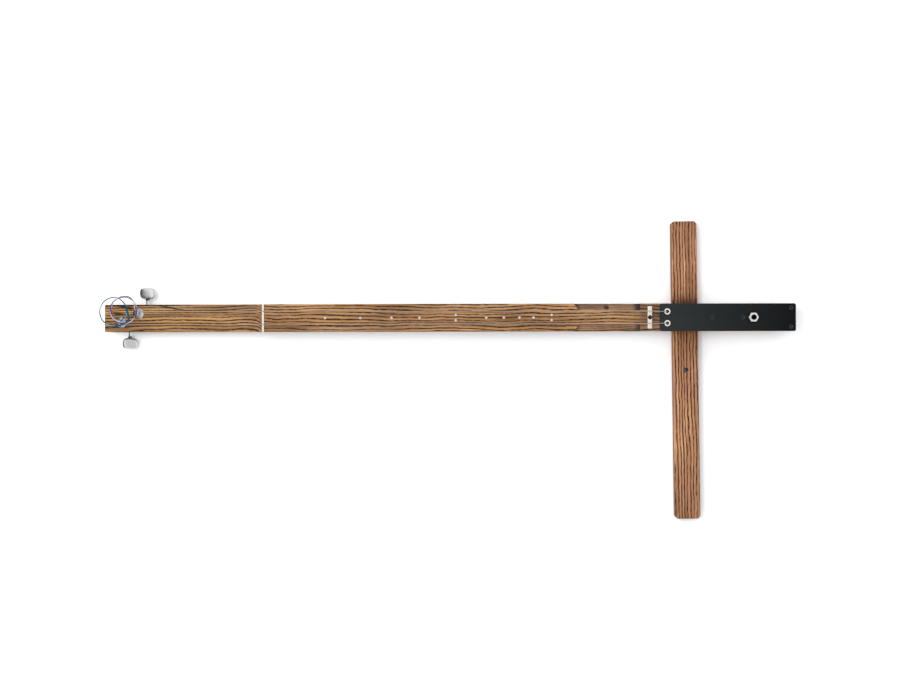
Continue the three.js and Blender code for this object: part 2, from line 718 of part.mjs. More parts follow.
// The worm as a height field over its length and angle, with the thread running out at both ends.
function makeWormShaft() {
  const pitch = Math.PI * gearModule;
  const around = 12;
  const reach = buttonStart + 10.8;
  const lengths = [-9, -8.7, -wormHalfLength - 0.8];
  const steps = 36;
  for (let i = 0; i <= steps; i += 1) {
    lengths.push(-wormHalfLength + 2 * wormHalfLength * i / steps);
  }
  lengths.push(wormHalfLength + 0.8, reach - 0.3, reach);
  const root = wormPitchRadius - toothDedendum;
  const tip = wormPitchRadius + toothAddendum;
  const flank = Math.tan(THREE.MathUtils.degToRad(pressureAngle));
  const radiusAt = (y, angle) => {
    if (Math.abs(y) > wormHalfLength) {
      return y === lengths[0] || y === reach ? shaftRadius - 0.3 : shaftRadius;
    }
    // Distance along the axis to the thread's crest; a groove faces the wheel at the middle of the worm.
    const turn = angle + Math.PI / 2;
    const offset = y + pitch * turn / (2 * Math.PI) + pitch / 2;
    const away = Math.abs(offset - pitch * Math.round(offset / pitch));
    const rise = (toothHalf - away) / flank + wormPitchRadius;
    const runOut = Math.min(1, (wormHalfLength - Math.abs(y)) / 1.2);
    return root + (THREE.MathUtils.clamp(rise, root, tip) - root) * runOut;
  };
  const corners = [];
  lengths.forEach((y) => {
    for (let k = 0; k < around; k += 1) {
      const angle = 2 * Math.PI * k / around;
      const r = radiusAt(y, angle);
      corners.push(r * Math.sin(angle), y, r * Math.cos(angle));
    }
  });
  const faces = [];
  for (let i = 0; i < lengths.length - 1; i += 1) {
    for (let k = 0; k < around; k += 1) {
      const next = (k + 1) % around;
      const [a, b] = [i * around + k, i * around + next];
      faces.push(a, b, b + around, a, b + around, a + around);
    }
  }
  const last = (lengths.length - 1) * around;
  for (let k = 1; k < around - 1; k += 1) {
    faces.push(0, k + 1, k, last, last + k, last + k + 1);
  }
  const geometry = new THREE.BufferGeometry();
  geometry.setAttribute('position', new THREE.Float32BufferAttribute(corners, 3));
  geometry.setIndex(faces);
  const screwHole = rod(1.2, 0, 9, 10).rotate([-90, 0, 0]).translate([0, reach - 7, 0]);
  return solid(geometry).subtract(screwHole).translate([gearCentre, 0, wormZ]);
}

// The wheel: fourteen slanted teeth that match the worm's lead, on a square hole.
function makeWheel() {
  const pitchRadius = wheelTeeth * gearModule / 2;
  const flank = Math.tan(THREE.MathUtils.degToRad(pressureAngle));
  const root = pitchRadius - toothDedendum;
  const tip = pitchRadius + toothAddendum;
  const points = [];
  for (let i = 0; i < wheelTeeth; i += 1) {
    const middle = 2 * Math.PI * i / wheelTeeth;
    const widths = [[root, toothHalf + toothDedendum * flank], [tip, toothHalf - toothAddendum * flank]];
    const corners = [
      [widths[0][0], -widths[0][1]], [widths[1][0], -widths[1][1]],
      [widths[1][0], widths[1][1]], [widths[0][0], widths[0][1]],
    ];
    for (const [radius, half] of corners) {
      const angle = middle + half / radius;
      points.push([radius * Math.cos(angle), radius * Math.sin(angle)]);
    }
  }
  const geometry = new THREE.ExtrudeGeometry(polygonOutline(points), {
    depth: wheelThickness, steps: 2, bevelEnabled: false,
  });
  geometry.translate(0, 0, -wheelThickness / 2);
  const leadSlope = -gearModule / (2 * wormPitchRadius);
  const place = geometry.attributes.position;
  for (let i = 0; i < place.count; i += 1) {
    const [x, y, z] = [place.getX(i), place.getY(i), place.getZ(i)];
    const twist = leadSlope * z / pitchRadius;
    place.setXY(i, x * Math.cos(twist) - y * Math.sin(twist), x * Math.sin(twist) + y * Math.cos(twist));
  }
  const squareHole = block(-2.3, 2.3, -2.3, 2.3, -9, 9);
  return solid(geometry).subtract(squareHole).translate([0, 0, wormZ]);
}

// The cast housing: an open-topped cup with a neck for the worm shaft and a lug for its screw.
function makeHousing() {
  const wheelReach = wheelTeeth * gearModule / 2 + toothAddendum + wheelSpace;
  const wormReach = gearCentre + wormPitchRadius + toothAddendum + wheelSpace;
  const inner = roundedOutline(-wheelReach, wormReach, -wheelReach, wheelReach, 4);
  const wall = housingWall;
  const sideReach = wheelReach + wall;
  const outer = roundedOutline(-sideReach, wormReach + wall, -sideReach, sideReach, 5.5);
  const round = 2;
  const shell = new THREE.ExtrudeGeometry(outer, {
    depth: housingDepth + round, bevelThickness: round, bevelSize: round, bevelOffset: -round,
    bevelSegments: 2, curveSegments: 4,
  });
  shell.translate(0, 0, -housingDepth + round);
  const above = block(-sideReach - 1, wormReach + wall + 1, -sideReach - 1, sideReach + 1, -fit, housingDepth);
  let body = solid(shell).subtract(above);
  const lug = raised(roundedOutline(-3.6, 3.6, lugY - 3.6, -wheelReach + 1, 3.5), -2.7, -0.2, 4);
  body = body.add(lug);
  const neck = turned([
    [0, wheelReach], [4.4, wheelReach], [4.4, wheelReach + wall + 1], [neckRadius, wheelReach + wall + 4],
    [neckRadius, neckEnd], [0, neckEnd],
  ], 16).rotate([-90, 0, 0]).translate([gearCentre, 0, wormZ]);
  body = body.add(neck);
  body = body.subtract(raised(inner, -housingDepth + 1.3, 1, 4));
  const bore = rod(shaftRadius + journalClearance, -9.3, neckEnd + 1, 16).rotate([-90, 0, 0]);
  body = body.subtract(bore.translate([gearCentre, 0, wormZ]));
  body = body.subtract(rod(2.1, -housingDepth + 0.6, -housingDepth + 2, 16));
  return body.subtract(rod(1.5, -4, 1, 12).translate([0, lugY, 0]));
}

function makePost(holeTurn) {
  const rise = headThickness + postRise;
  const low = wormZ - wheelThickness / 2;
  const seat = wormZ + wheelThickness / 2 + 0.2;
  const waistLow = headThickness + postWasherThickness + hexHeight + 1;
  const lip = postRadius + 0.2;
  const body = turned([
    [0, -housingDepth + 0.8], [1.8, -housingDepth + 0.8], [1.8, seat], [postRadius, seat],
    [postRadius, waistLow], [postWaist, waistLow + 0.5], [postWaist, rise - 1.8], [lip, rise - 1.3],
    [lip, rise - 0.5], [postRadius - 0.6, rise], [1.2, rise], [1, rise - 0.5], [0, rise - 0.5],
  ], 16);
  const square = block(-2.1, 2.1, -2.1, 2.1, low, seat + 0.1);
  const hole = rod(1.05, -6, 6, 10).rotate([0, 90, holeTurn]);
  return body.add(square).subtract(hole.translate([0, 0, holeHeight()]));
}

function holeHeight() {
  return headThickness + postRise - 3;
}

function makeBushing() {
  const low = -0.1;
  const hexLow = headThickness + postWasherThickness + 0.2;
  const hexTop = hexLow + hexHeight;
  const crownRadius = hexAcross * crownShare;
  const sleeve = rod(bushingRadius, low, hexLow + 0.5, 18);
  const crown = turned([
    [0, hexLow], [crownRadius, hexLow], [crownRadius, hexTop - 0.8], [hexAcross * 0.47, hexTop], [0, hexTop],
  ], 18);
  const hex = raised(hexagon(hexAcross), hexLow, hexTop).intersect(crown);
  return sleeve.add(hex).subtract(rod(postRadius + journalClearance, -2, hexLow + 9, 20));
}

function buttonOutline() {
  const [half, long] = [buttonWidth / 2, buttonLength];
  const shape = new THREE.Shape();
  shape.moveTo(-3.4, 0);
  shape.lineTo(3.4, 0);
  shape.bezierCurveTo(half * 0.5, 0, half * 0.78, long * 0.1, half * 0.9, long * 0.3);
  shape.bezierCurveTo(half * 0.97, long * 0.42, half, long * 0.5, half, long * 0.62);
  shape.bezierCurveTo(half, long * 0.78, half * 0.97, long * 0.875, half * 0.84, long * 0.92);
  shape.bezierCurveTo(half * 0.45, long * 1.026, -half * 0.45, long * 1.026, -half * 0.84, long * 0.92);
  shape.bezierCurveTo(-half * 0.97, long * 0.875, -half, long * 0.78, -half, long * 0.62);
  shape.bezierCurveTo(-half, long * 0.5, -half * 0.97, long * 0.42, -half * 0.9, long * 0.3);
  shape.bezierCurveTo(-half * 0.78, long * 0.1, -half * 0.5, 0, -3.4, 0);
  return shape;
}

function makeButton(turn) {
  const rim = 2.3;
  const geometry = new THREE.ExtrudeGeometry(buttonOutline(), {
    depth: buttonThickness - 2 * rim, bevelThickness: rim, bevelSize: rim, bevelOffset: -rim, bevelSegments: 2,
    curveSegments: 3,
  });
  geometry.translate(0, 0, -buttonThickness / 2 + rim);
  let body = solid(geometry);
  const boss = turned([[0, 0.1], [3.3, 0.1], [3.6, 4], [0, 4]], 16).rotate([-90, 0, 0]);
  body = body.add(boss);
  const bore = turned([
    [0, -3], [shaftRadius + snugFit, -3], [shaftRadius + snugFit, 11], [1.3, 11], [1.3, buttonLength - 2],
    [2.8, buttonLength - 2], [2.8, buttonLength + 3], [0, buttonLength + 3],
  ], 16).rotate([-90, 0, 0]);
  return body.subtract(bore).rotate([0, turn, 0]).translate([gearCentre, buttonStart, wormZ]);
}

function makeButtonScrew() {
  const screw = turned([
    [0, -7.6], [0.95, -7.6], [0.95, 0.15], [2.4, 0.15], [2.5, 1], [1.8, 1.5], [0, 1.5],
  ], 12).subtract(raised(hexagon(1.4), 0.8, 3));
  return screw.rotate([-90, 0, 0]).translate([gearCentre, buttonStart + buttonLength - 2, wormZ]);
}

function makeMountScrew() {
  return turned([
    [0, -4.6], [1.6, -4.5], [2.5, -3.8], [2.6, -3], [1.25, -3], [1.25, 6], [0.5, 7.6], [0, 7.6],
  ], 12).translate([0, lugY, 0]);
}

// The free tails of the strings lie in springy rings above the posts.
function tailRoute(points) {
  const curve = new THREE.CatmullRomCurve3(points, false, 'centripetal');
  return curve.getPoints((points.length - 1) * 2);
}

function ringPoints(ring) {
  const points = [];
  for (let degrees = ring.from; degrees <= ring.to; degrees += 30) {
    const share = (degrees - ring.from) / (ring.to - ring.from);
    const angle = THREE.MathUtils.degToRad(degrees);
    const x = ring.centre[0] + (ring.radiusX - ring.shrink * share) * Math.cos(angle);
    const y = ring.centre[1] + (ring.radiusY - ring.shrink * share) * Math.sin(angle);
    points.push(point(x, y, ring.z + share * ring.climb));
  }
  return points;
}

// Points on the way out of a post's cross hole, each at a reach from the post and a rise above the hole.
function leavingPost(i, places) {
  const [x, y] = postPlaces[i];
  const way = THREE.MathUtils.degToRad(tailWays[i]);
  const z = stickBottom + holeHeight();
  return places.map(([reach, rise]) => point(x + reach * Math.cos(way), y + reach * Math.sin(way), z + rise));
}

function lowTail() {
  const approach = lowApproach.map((place) => point(...place));
  const end = lowEnd.map((place) => point(...place));
  return tailRoute([...leavingPost(1, lowLeave), ...approach, ...ringPoints(lowRing), ...end]);
}

function highTail() {
  const approach = highApproach.map((place) => point(...place));
  return tailRoute([...leavingPost(0, highLeave), ...approach, ...ringPoints(highRing)]);
}

function makeTail(route, name, endSwell) {
  const swellFrom = route.length - 9;
  const radiusAt = (i) => tailRadius + endSwell * THREE.MathUtils.smoothstep(i, swellFrom, swellFrom + 3);
  console.log(`${name} least gap between its turns: ${leastSelfGap(route, radiusAt).toFixed(2)} mm`);
  let length = 0;
  for (let i = 1; i < route.length; i += 1) {
    length += route[i].distanceTo(route[i - 1]);
  }
  console.log(`${name} length: ${length.toFixed(1)} mm`);
  return tubeThrough(route, radiusAt, 6);
}

addPiece('stick', makeStick(), 'ash');
addPiece('nut', makeNut(), 'bone');
addPiece('bridge', makeBridge(), 'bone');
const bridgeScrew = socketScrew(bridgeScrewHeadRadius, 4, 1.6, bridgeScrewLength, 3);
const bridgeScrewZ = bridgeTop - bridgeScrewSeat + fit;
addPiece('bridge_screw', bridgeScrew.translate([bridgeX, 0, bridgeScrewZ]), 'blackSteel');
const pickup = block(...pickupSpan(0), stickTop - 1.9, stickTop - 0.1);
const pickupHole = rod(1.9, stickTop - 9, stickTop + 9, 12).translate([bridgeX, 0, 0]);
addPiece('piezo_pickup', pickup.subtract(pickupHole), 'ceramic');
addPiece('pickup_lead', makeLead(), 'nylon');
for (const [name, x, y] of dotPlaces()) {
  addPiece(name, rod(dotRadius, stickTop - dotDepth, stickTop, 12).translate([x, y, 0]), 'pearl');
}
addPiece('cover_plate', makeCoverPlate(), 'blackPlate');
for (const [name, x, y] of plateScrewPlaces()) {
  addPiece(name, countersunkScrew().translate([x, y, plateTop]), 'blackSteel');
}
for (const side of [1, -1]) {
  const number = side > 0 ? 1 : 2;
  addPiece(`top_ferrule_${number}`, makeFerrule().translate([ferruleX, side * ferruleY, 0]), 'nickel');
  addPiece(`back_ferrule_${number}`, makeBackFerrule().translate([ferruleX, side * ferruleY, 0]), 'nickel');
  addPiece(`string_${number}`, makeString(side), 'wire');
}
addPiece('jack_body', makeJackBody().translate([jackX, 0, 0]), 'nickel');
const jackWasherTop = plateTop + jackWasherThickness;
const jackWasher = ring(jackThreadRadius + snugFit, jackWasherRadius, plateTop, jackWasherTop, 18);
addPiece('jack_washer', jackWasher.translate([jackX, 0, 0]), 'nylon');
addPiece('jack_nut', makeJackNut().translate([jackX, 0, 0]), 'nickel');
const insert = ring(boltRadius + snugFit, insertRadius, stickBottom, stickBottom + insertLength, 18);
addPiece('threaded_insert', insert.translate([pivotX, 0, 0]), 'brass');
addPiece('leg_rest_bolt', makeBolt(), 'blackSteel');
const washerTop = counterboreDepth - swivelFit;
const boltWasher = ring(boltRadius + swivelFit, 8.5, washerTop - washerThickness, washerTop, 18);
addPiece('bolt_washer', boltWasher.translate([pivotX, 0, 0]), 'nickel');
const legRest = addPiece('leg_rest', makeLegRest(), 'restAsh');
legRest.position.set(pivotX, 0, 0);
legRest.rotation.z = THREE.MathUtils.degToRad(restTurn);

postPlaces.forEach(([x, y, side], i) => {
  const name = `tuner_${i + 1}`;
  const place = (body) => {
    const faced = side > 0 ? body : body.mirror([0, 1, 0]);
    return faced.translate([x, y, stickBottom]);
  };
  addPiece(`${name}_housing`, place(makeHousing()), 'chrome');
  addPiece(`${name}_mount_screw`, place(makeMountScrew()), 'chrome');
  addPiece(`${name}_bushing`, place(makeBushing()), 'chrome');
  const washerLow = headThickness + 0.1;
  const washer = ring(bushingRadius + 0.25, postWasherRadius, washerLow, washerLow + postWasherThickness, 18);
  addPiece(`${name}_washer`, place(washer), 'chrome');
  addPiece(`${name}_post`, place(makePost(side * tailWays[i])), 'chrome');
  addPiece(`${name}_wheel`, place(makeWheel()), 'brass');
  addPiece(`${name}_worm_shaft`, place(makeWormShaft()), 'chrome');
  const collar = ring(shaftRadius + snugFit, collarRadius, collarStart, collarStart + collarLength, 16);
  addPiece(`${name}_collar`, place(collar.rotate([-90, 0, 0]).translate([gearCentre, 0, wormZ])), 'nylon');
  addPiece(`${name}_button`, place(makeButton(buttonTurns[i])), 'chrome');
  addPiece(`${name}_button_screw`, place(makeButtonScrew()), 'chrome');
});
addPiece('string_1_tail', makeTail(highTail(), 'string 1 tail', 0), 'purpleSilk');
addPiece('string_2_tail', makeTail(lowTail(), 'string 2 tail', tailSwell), 'blueSilk');

// The origin is the middle of the underside, with the two free tails left out of the measure.
const measured = new THREE.Box3();
assembly.updateMatrixWorld(true);
for (const mesh of assembly.children) {
  if (!mesh.name.endsWith('_tail')) {
    measured.union(new THREE.Box3().setFromObject(mesh, true));
  }
}
const middle = measured.getCenter(new THREE.Vector3());
assembly.position.set(-middle.x, -middle.y, -measured.min.z);

const instrument = new THREE.Group();
instrument.add(assembly);
console.log(`origin offset: ${assembly.position.toArray().map((value) => value.toFixed(4)).join(', ')}`);

export default instrument;
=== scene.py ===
# %% [markdown]
# A two-string stick instrument, seen from straight above
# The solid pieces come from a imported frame. This lesson dresses them: it gives each surface a finish that is worked
# out by nodes, and models again the pieces whose curves matter, such as chrome buttons, strings and nuts.
# %% Load the frame
import json
import math

import bmesh
import bpy
from mathutils import Matrix, Vector


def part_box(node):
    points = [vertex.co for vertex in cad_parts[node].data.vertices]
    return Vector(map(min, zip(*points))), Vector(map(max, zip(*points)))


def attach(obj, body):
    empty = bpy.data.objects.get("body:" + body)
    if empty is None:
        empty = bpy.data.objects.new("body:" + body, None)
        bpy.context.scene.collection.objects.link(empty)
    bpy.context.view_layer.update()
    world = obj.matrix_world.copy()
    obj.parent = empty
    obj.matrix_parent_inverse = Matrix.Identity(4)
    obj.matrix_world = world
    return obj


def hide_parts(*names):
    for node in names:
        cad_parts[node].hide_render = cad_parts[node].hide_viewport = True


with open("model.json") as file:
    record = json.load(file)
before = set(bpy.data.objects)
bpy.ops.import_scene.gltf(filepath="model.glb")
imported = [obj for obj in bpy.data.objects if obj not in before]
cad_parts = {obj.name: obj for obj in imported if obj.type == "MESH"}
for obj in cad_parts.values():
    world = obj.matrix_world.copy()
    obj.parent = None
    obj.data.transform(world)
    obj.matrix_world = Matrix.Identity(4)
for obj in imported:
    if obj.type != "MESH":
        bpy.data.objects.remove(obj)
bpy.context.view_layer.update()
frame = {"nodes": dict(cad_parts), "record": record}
MM = 0.001

# %% [markdown]
# Places on the instrument
# Every place is worked out from the frame's own boxes, so the dressing follows if a size changes there. A turned
# piece stands on the foot of its node's box.
# %% Places that the rest of the lesson hangs on


def middle(node, height=None):
    """The middle of a node's box, moved to a height where one is given."""
    low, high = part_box(node)
    place = (low + high) / 2
    if height is not None:
        place.z = height
    return place


def foot(node):
    """The middle of a node's lower face."""
    return middle(node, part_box(node)[0].z)


def tall(node):
    """A node's height in millimetres."""
    low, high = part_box(node)
    return (high.z - low.z) / MM


def put(name, data):
    """A new object in the scene."""
    made = bpy.data.objects.new(name, data)
    bpy.context.collection.objects.link(made)
    return made


stick_low, stick_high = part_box("stick")
stick_top = stick_high.z
stick_base = stick_low.z
centre_y = (stick_low.y + stick_high.y) / 2
nut_x = middle("nut").x
plate_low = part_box("cover_plate")[0]
plate_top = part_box("cover_plate")[1].z
rest_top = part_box("leg_rest")[1].z
print("stick from", stick_low, "to", stick_high)

# %% [markdown]
# The camera
# The photograph was taken from straight above, so the camera looks down with only a small roll. Its distance was
# read from the parallax between the leg rest and the stick, and its lens from the width of the playing surface.
# The nut's and the centre line's distances from the picture's middle, in pixels, say where it stands.
# %% Camera
IMAGE_WIDTH = 900
PIXEL = 1.6034 * MM
CAMERA_RISE = 2.3
SENSOR_WIDTH = 36
STICK_ROLL = 0.00186
NUT_TO_MIDDLE = 187.0
CENTRE_LINE_TO_MIDDLE = 19.77

camera_data = bpy.data.cameras.new("camera")
camera_data.sensor_width = SENSOR_WIDTH
camera_data.lens = SENSOR_WIDTH * CAMERA_RISE / (IMAGE_WIDTH * PIXEL)
camera = put("camera", camera_data)
camera.location = (nut_x + NUT_TO_MIDDLE * PIXEL, centre_y - CENTRE_LINE_TO_MIDDLE * PIXEL, stick_top + CAMERA_RISE)
camera.rotation_euler = (0, 0, -STICK_ROLL)
bpy.context.scene.camera = camera
bpy.context.scene.view_settings.view_transform = "Standard"
print("lens:", round(camera_data.lens, 2), "mm")

# %% [markdown]
# Shader maths as expressions
# A node tree is hard to read as a list of links. The class below wraps a socket, so that a finish can be written as
# ordinary sums. One function makes any other node, of a material or of Geometry Nodes, from its type, its sockets
# and its settings.
# %% The wrapped socket


def set_stops(ramp, stops):
    while len(ramp.elements) < len(stops):
        ramp.elements.new(1.0)
    for element, (place, colour) in zip(ramp.elements, stops):
        element.position = place
        element.color = colour


def add_node(tree, kind, sockets, settings=None, output=0):
    """Adds a node, sets it first, then links or fills its sockets, and wraps one of its outputs."""
    made = tree.nodes.new(kind)
    for name, value in (settings or {}).items():
        if name == "stops":
            set_stops(made.color_ramp, value)
        else:
            setattr(made, name, value)
    for name, value in sockets.items():
        if isinstance(value, Shade):
            tree.links.new(value.socket, made.inputs[name])
        else:
            made.inputs[name].default_value = value
    return Shade(tree, made.outputs[output])


class Shade:
    """One output socket of a node tree, on which sums and products add Math nodes."""

    def __init__(self, tree, socket):
        self.tree = tree
        self.socket = socket

    def node(self, kind, sockets, settings=None, output=0):
        return add_node(self.tree, kind, sockets, settings, output)

    def math(self, operation, *values, clamp=False):
        return self.node("ShaderNodeMath", dict(enumerate(values)), {"operation": operation, "use_clamp": clamp})

    def __add__(self, other):
        return self.math("ADD", self, other)

    __radd__ = __add__

    def __sub__(self, other):
        return self.math("SUBTRACT", self, other)

    def __rsub__(self, other):
        return self.math("SUBTRACT", other, self)

    def __mul__(self, other):
        return self.math("MULTIPLY", self, other)

    __rmul__ = __mul__

    def __truediv__(self, other):
        return self.math("DIVIDE", self, other)

    def __pow__(self, other):
        return self.math("POWER", self, other)

    def __rpow__(self, other):
        return self.math("POWER", other, self)

    def __abs__(self):
        return self.math("ABSOLUTE", self)

    def clamped(self):
        return self.math("ADD", self, 0.0, clamp=True)

    def fraction(self):
        return self.math("FRACT", self)

    def wave(self):
        """Swings between -1 and 1, once for each whole number."""
        return self.math("SINE", self * (2 * math.pi))

    def step(self, low, high):
        """Rises smoothly from 0 at low to 1 at high."""
        sockets = {0: self, 1: low, 2: high, 3: 0.0, 4: 1.0}
        return self.node("ShaderNodeMapRange", sockets, {"interpolation_type": "SMOOTHSTEP"})

    def between(self, low, high, soft):
        return self.step(low - soft, low + soft) * (1 - self.step(high - soft, high + soft))

    def mix(self, first, second, blend="MIX"):
        """Mixes two colours, with this socket as the share of the second."""
        sockets = {0: self, 6: first, 7: second}
        return self.node("ShaderNodeMix", sockets, {"data_type": "RGBA", "blend_type": blend}, 2)

    def ramp(self, stops):
        return self.node("ShaderNodeValToRGB", {0: self}, {"stops": stops})

    def split(self):
        """The three numbers of a vector."""
        made = self.node("ShaderNodeSeparateXYZ", {0: self}).socket.node
        return [Shade(self.tree, out) for out in made.outputs]

    def vector_math(self, operation, other, output=0):
        return self.node("ShaderNodeVectorMath", {0: self, 1: other}, {"operation": operation}, output)

    def scaled(self, x, y, z):
        return self.vector_math("MULTIPLY", (x, y, z))

    def from_axis(self, centre):
        """How far a place lies from the upright axis through a centre."""
        x, y, z = self.split()
        return ((x - centre.x) ** 2 + (y - centre.y) ** 2) ** 0.5

    def noise(self, scale=1.0, detail=2.0, roughness=0.5, distortion=0.0):
        sockets = {"Vector": self, "Scale": scale, "Detail": detail, "Roughness": roughness, "Distortion": distortion}
        return self.node("ShaderNodeTexNoise", sockets)


def linear(red, green, blue):
    """A colour given as 0 to 255 on screen, as the renderer's linear numbers."""
    def channel(value):
        value /= 255
        return value / 12.92 if value <= 0.04045 else ((value + 0.055) / 1.055) ** 2.4
    return (channel(red), channel(green), channel(blue), 1.0)


class Finish:
    """A new material with its Principled shader and the object's own coordinates."""

    def __init__(self, name, roughness=0.5, metallic=0.0, **constants):
        self.material = bpy.data.materials.new(name)
        self.material.use_nodes = True
        tree = self.material.node_tree
        self.shader = tree.nodes["Principled BSDF"]
        self.shader.inputs["Roughness"].default_value = roughness
        self.shader.inputs["Metallic"].default_value = metallic
        for socket_name, value in constants.items():
            self.shader.inputs[socket_name.replace("_", " ")].default_value = value
        coordinates = tree.nodes.new("ShaderNodeTexCoord")
        self.place = Shade(tree, coordinates.outputs["Object"])
        self.uv = Shade(tree, coordinates.outputs["UV"])

    def feed(self, socket_name, value):
        self.material.node_tree.links.new(value.socket, self.shader.inputs[socket_name])

    def fed(self, colour, roughness, height, depth, strength):
        """The material, with its colour, its roughness and a bump that is given in metres."""
        self.feed("Base Color", colour)
        self.feed("Roughness", roughness)
        bump = {"Height": height, "Distance": depth, "Strength": strength}
        self.feed("Normal", height.node("ShaderNodeBump", bump))
        return self.material


# %% [markdown]
# Heat-darkened ash
# Ash is ring-porous: each year starts with a band of open pores, and a sawn board shows those bands as long wavy
# dark lines made of short dashes. The finish measures the distance across the board, bends it with slow noise, turns
# it into rings, and breaks each ring's dark band into dashes. Fine streaks between the bands are the fibres.
# %% Wood
RING_SPACING = 4.9 * MM
RING_SLANT = 0.85
TOP_PHASE = 0.35
YEAR_SPREAD = 2.4
SLOW_BEND = 34 * MM
QUICK_BEND = 11.5 * MM
HONEY = (1.07, 0.99, 0.8, 1)


def ash(name, turn, shift, tones, marks, wander=1.0, line=(0.42, 0.8), line_tone=(36, 20, 10), floor_share=0.4,
        honey_share=0.9, ripple_depth=1.6 * MM, level=stick_top):
    """Tones go from light to dark. Marks adds the darker marks over the wood, and level is the height of the face
    that is seen.
    """
    finish = Finish(name, roughness=0.5, IOR=1.45, Specular_IOR_Level=0.3)
    mapping = {"Vector": finish.place, "Location": shift, "Rotation": (0, 0, turn)}
    grain = finish.place.node("ShaderNodeMapping", mapping)

    def fleck(along, over, detail=2.0, roughness=0.5):
        """Noise that is long with the grain and short across it."""
        return grain.scaled(along, over, over).noise(1.0, detail, roughness)

    _, y, z = grain.split()
    across = y + level * TOP_PHASE + (z - level) * RING_SLANT
    for along, over, depth in ((2.1, 7, SLOW_BEND * wander), (10, 17, QUICK_BEND * wander), (45, 70, ripple_depth)):
        across = across + (fleck(along, over) - 0.5) * depth
    ring = (across / RING_SPACING + fleck(0.7, 55, 1.0) * (YEAR_SPREAD * wander)).fraction()
    band = ring.step(*line) * (1 - ring.step(0.9, 1.0))
    dashes = fleck(120, 1300, 2.0, 0.55)
    strength = fleck(6, 60).step(0.25, 0.6) * 0.75 + 0.5
    dark_share = (band * (dashes.step(0.38, 0.56) + floor_share) * strength).clamped()
    stray = dashes.step(0.63, 0.7) * 0.5
    fibre = fleck(26, 1500, 3.0, 0.65)
    streak = fleck(7, 330, 3.0, 0.6)
    blotch = fleck(6, 44, 3.0, 0.55)
    tone = 0.5 + (streak - 0.5) + (fibre - 0.5) * 0.7 + (blotch - 0.5) * 1.1
    light, middle_tone, dark = (linear(*each) for each in tones)
    colour = tone.clamped().ramp([(0.15, light), (0.5, middle_tone), (0.9, dark)])
    colour = (fleck(4, 60).step(0.4, 0.6) * honey_share).mix(colour, HONEY, "MULTIPLY")
    colour = (dark_share + stray * (1 - dark_share)).clamped().mix(colour, linear(*line_tone))
    relief = fibre * 0.5 + streak * 0.2 - dark_share * 0.9
    return finish.fed(marks(finish, colour), 0.46 + fibre * 0.14 + dark_share * 0.15, relief, 0.12 * MM, 0.55)


# %% [markdown]
# Darker scoops, the knot and the strokes
# The bow scoops are browner and darker than the top, most at their ends. The head is a bit paler and has three
# charred strokes, given from one end to the other and with a width, from the nut and the centre line. A mark is a
# mask made from the place on the wood, and mixes a dark tone over it, so it needs no picture.
# %% Marks on the stick
CHAR_STROKES = [((-0.2365, 0.0202), (-0.2099, 0.0154), 0.003), ((-0.2456, 0.0087), (-0.2262, 0.0066), 0.0034),
                ((-0.169, 0.0199), (-0.1302, 0.0138), 0.0021)]
DARK_BROWN, CHARRED, SMOKED, PALE_HEAD = linear(44, 29, 20), linear(34, 22, 12), linear(58, 50, 46), linear(246, 250, 226)
SCOOP_INNER = 10.8 * MM
SCOOP_DROP = 12 * MM
scoop_start = nut_x + 498.2 * MM
scoop_end = nut_x + 605.0 * MM
knot_place = (scoop_start + 53 * MM, centre_y + 16.5 * MM, stick_top - 5 * MM)


def stick_marks(finish, colour):
    """The scoops, the knot in one of them, the charred strokes, the smoke beside the plate and the paler head."""
    x, y, z = finish.place.split()
    inside = abs(y - centre_y).step(SCOOP_INNER - 0.7 * MM, SCOOP_INNER + 0.7 * MM)
    along = x.between(scoop_start - 1 * MM, scoop_end + 2 * MM, 4 * MM)
    scoop_floor = stick_top - SCOOP_DROP
    below_top = z.step(scoop_floor - 1.2 * MM, scoop_floor + 0.2 * MM) * (
        1 - z.step(stick_top - 0.6 * MM, stick_top - 0.1 * MM))
    patch = finish.place.scaled(60, 150, 150).noise(1.0, 3.0, 0.6)
    ends = 1 - x.between(scoop_start + 8 * MM, scoop_end - 7 * MM, 7 * MM)
    side = y.step(centre_y - 1 * MM, centre_y + 1 * MM)
    # The scoops are painted browner and darker, most at their ends.
    scoop_darkening = (inside * along * below_top * (side * 0.12 + patch * (side * 0.5 + 0.06) + ends * 0.85)).clamped()
    spot = 1 - finish.place.vector_math("DISTANCE", knot_place, 1).step(1.5 * MM, 6.2 * MM)
    marked = (scoop_darkening + spot * 0.85).clamped().mix(colour, DARK_BROWN)
    for (start_x, start_y), (end_x, end_y), width in CHAR_STROKES:
        slope = (end_y - start_y) / (end_x - start_x)
        gap = y - centre_y - start_y - (x - nut_x - start_x) * slope + (patch - 0.5) * (4 * MM)
        stroke = (1 - abs(gap).step(width * 0.3, width)) * (x - nut_x).between(start_x, end_x, 8 * MM)
        marked = (stroke * patch.step(0.1, 0.45) * 0.88).mix(marked, CHARRED)
    smoke = x.between(scoop_end - 2 * MM, plate_low.x + 2 * MM, 6 * MM)
    smoke = smoke * z.step(stick_top - 2 * MM, stick_top - 0.5 * MM)
    marked = (smoke * 0.36).mix(marked, SMOKED)
    head = 1 - x.step(nut_x - 120 * MM, nut_x + 20 * MM)
    return (head * 0.7).mix(marked, PALE_HEAD, "MULTIPLY")


wood = ash("toasted ash", 0, (0, -centre_y, 0), [(216, 171, 126), (167, 125, 88), (108, 72, 43)], stick_marks)
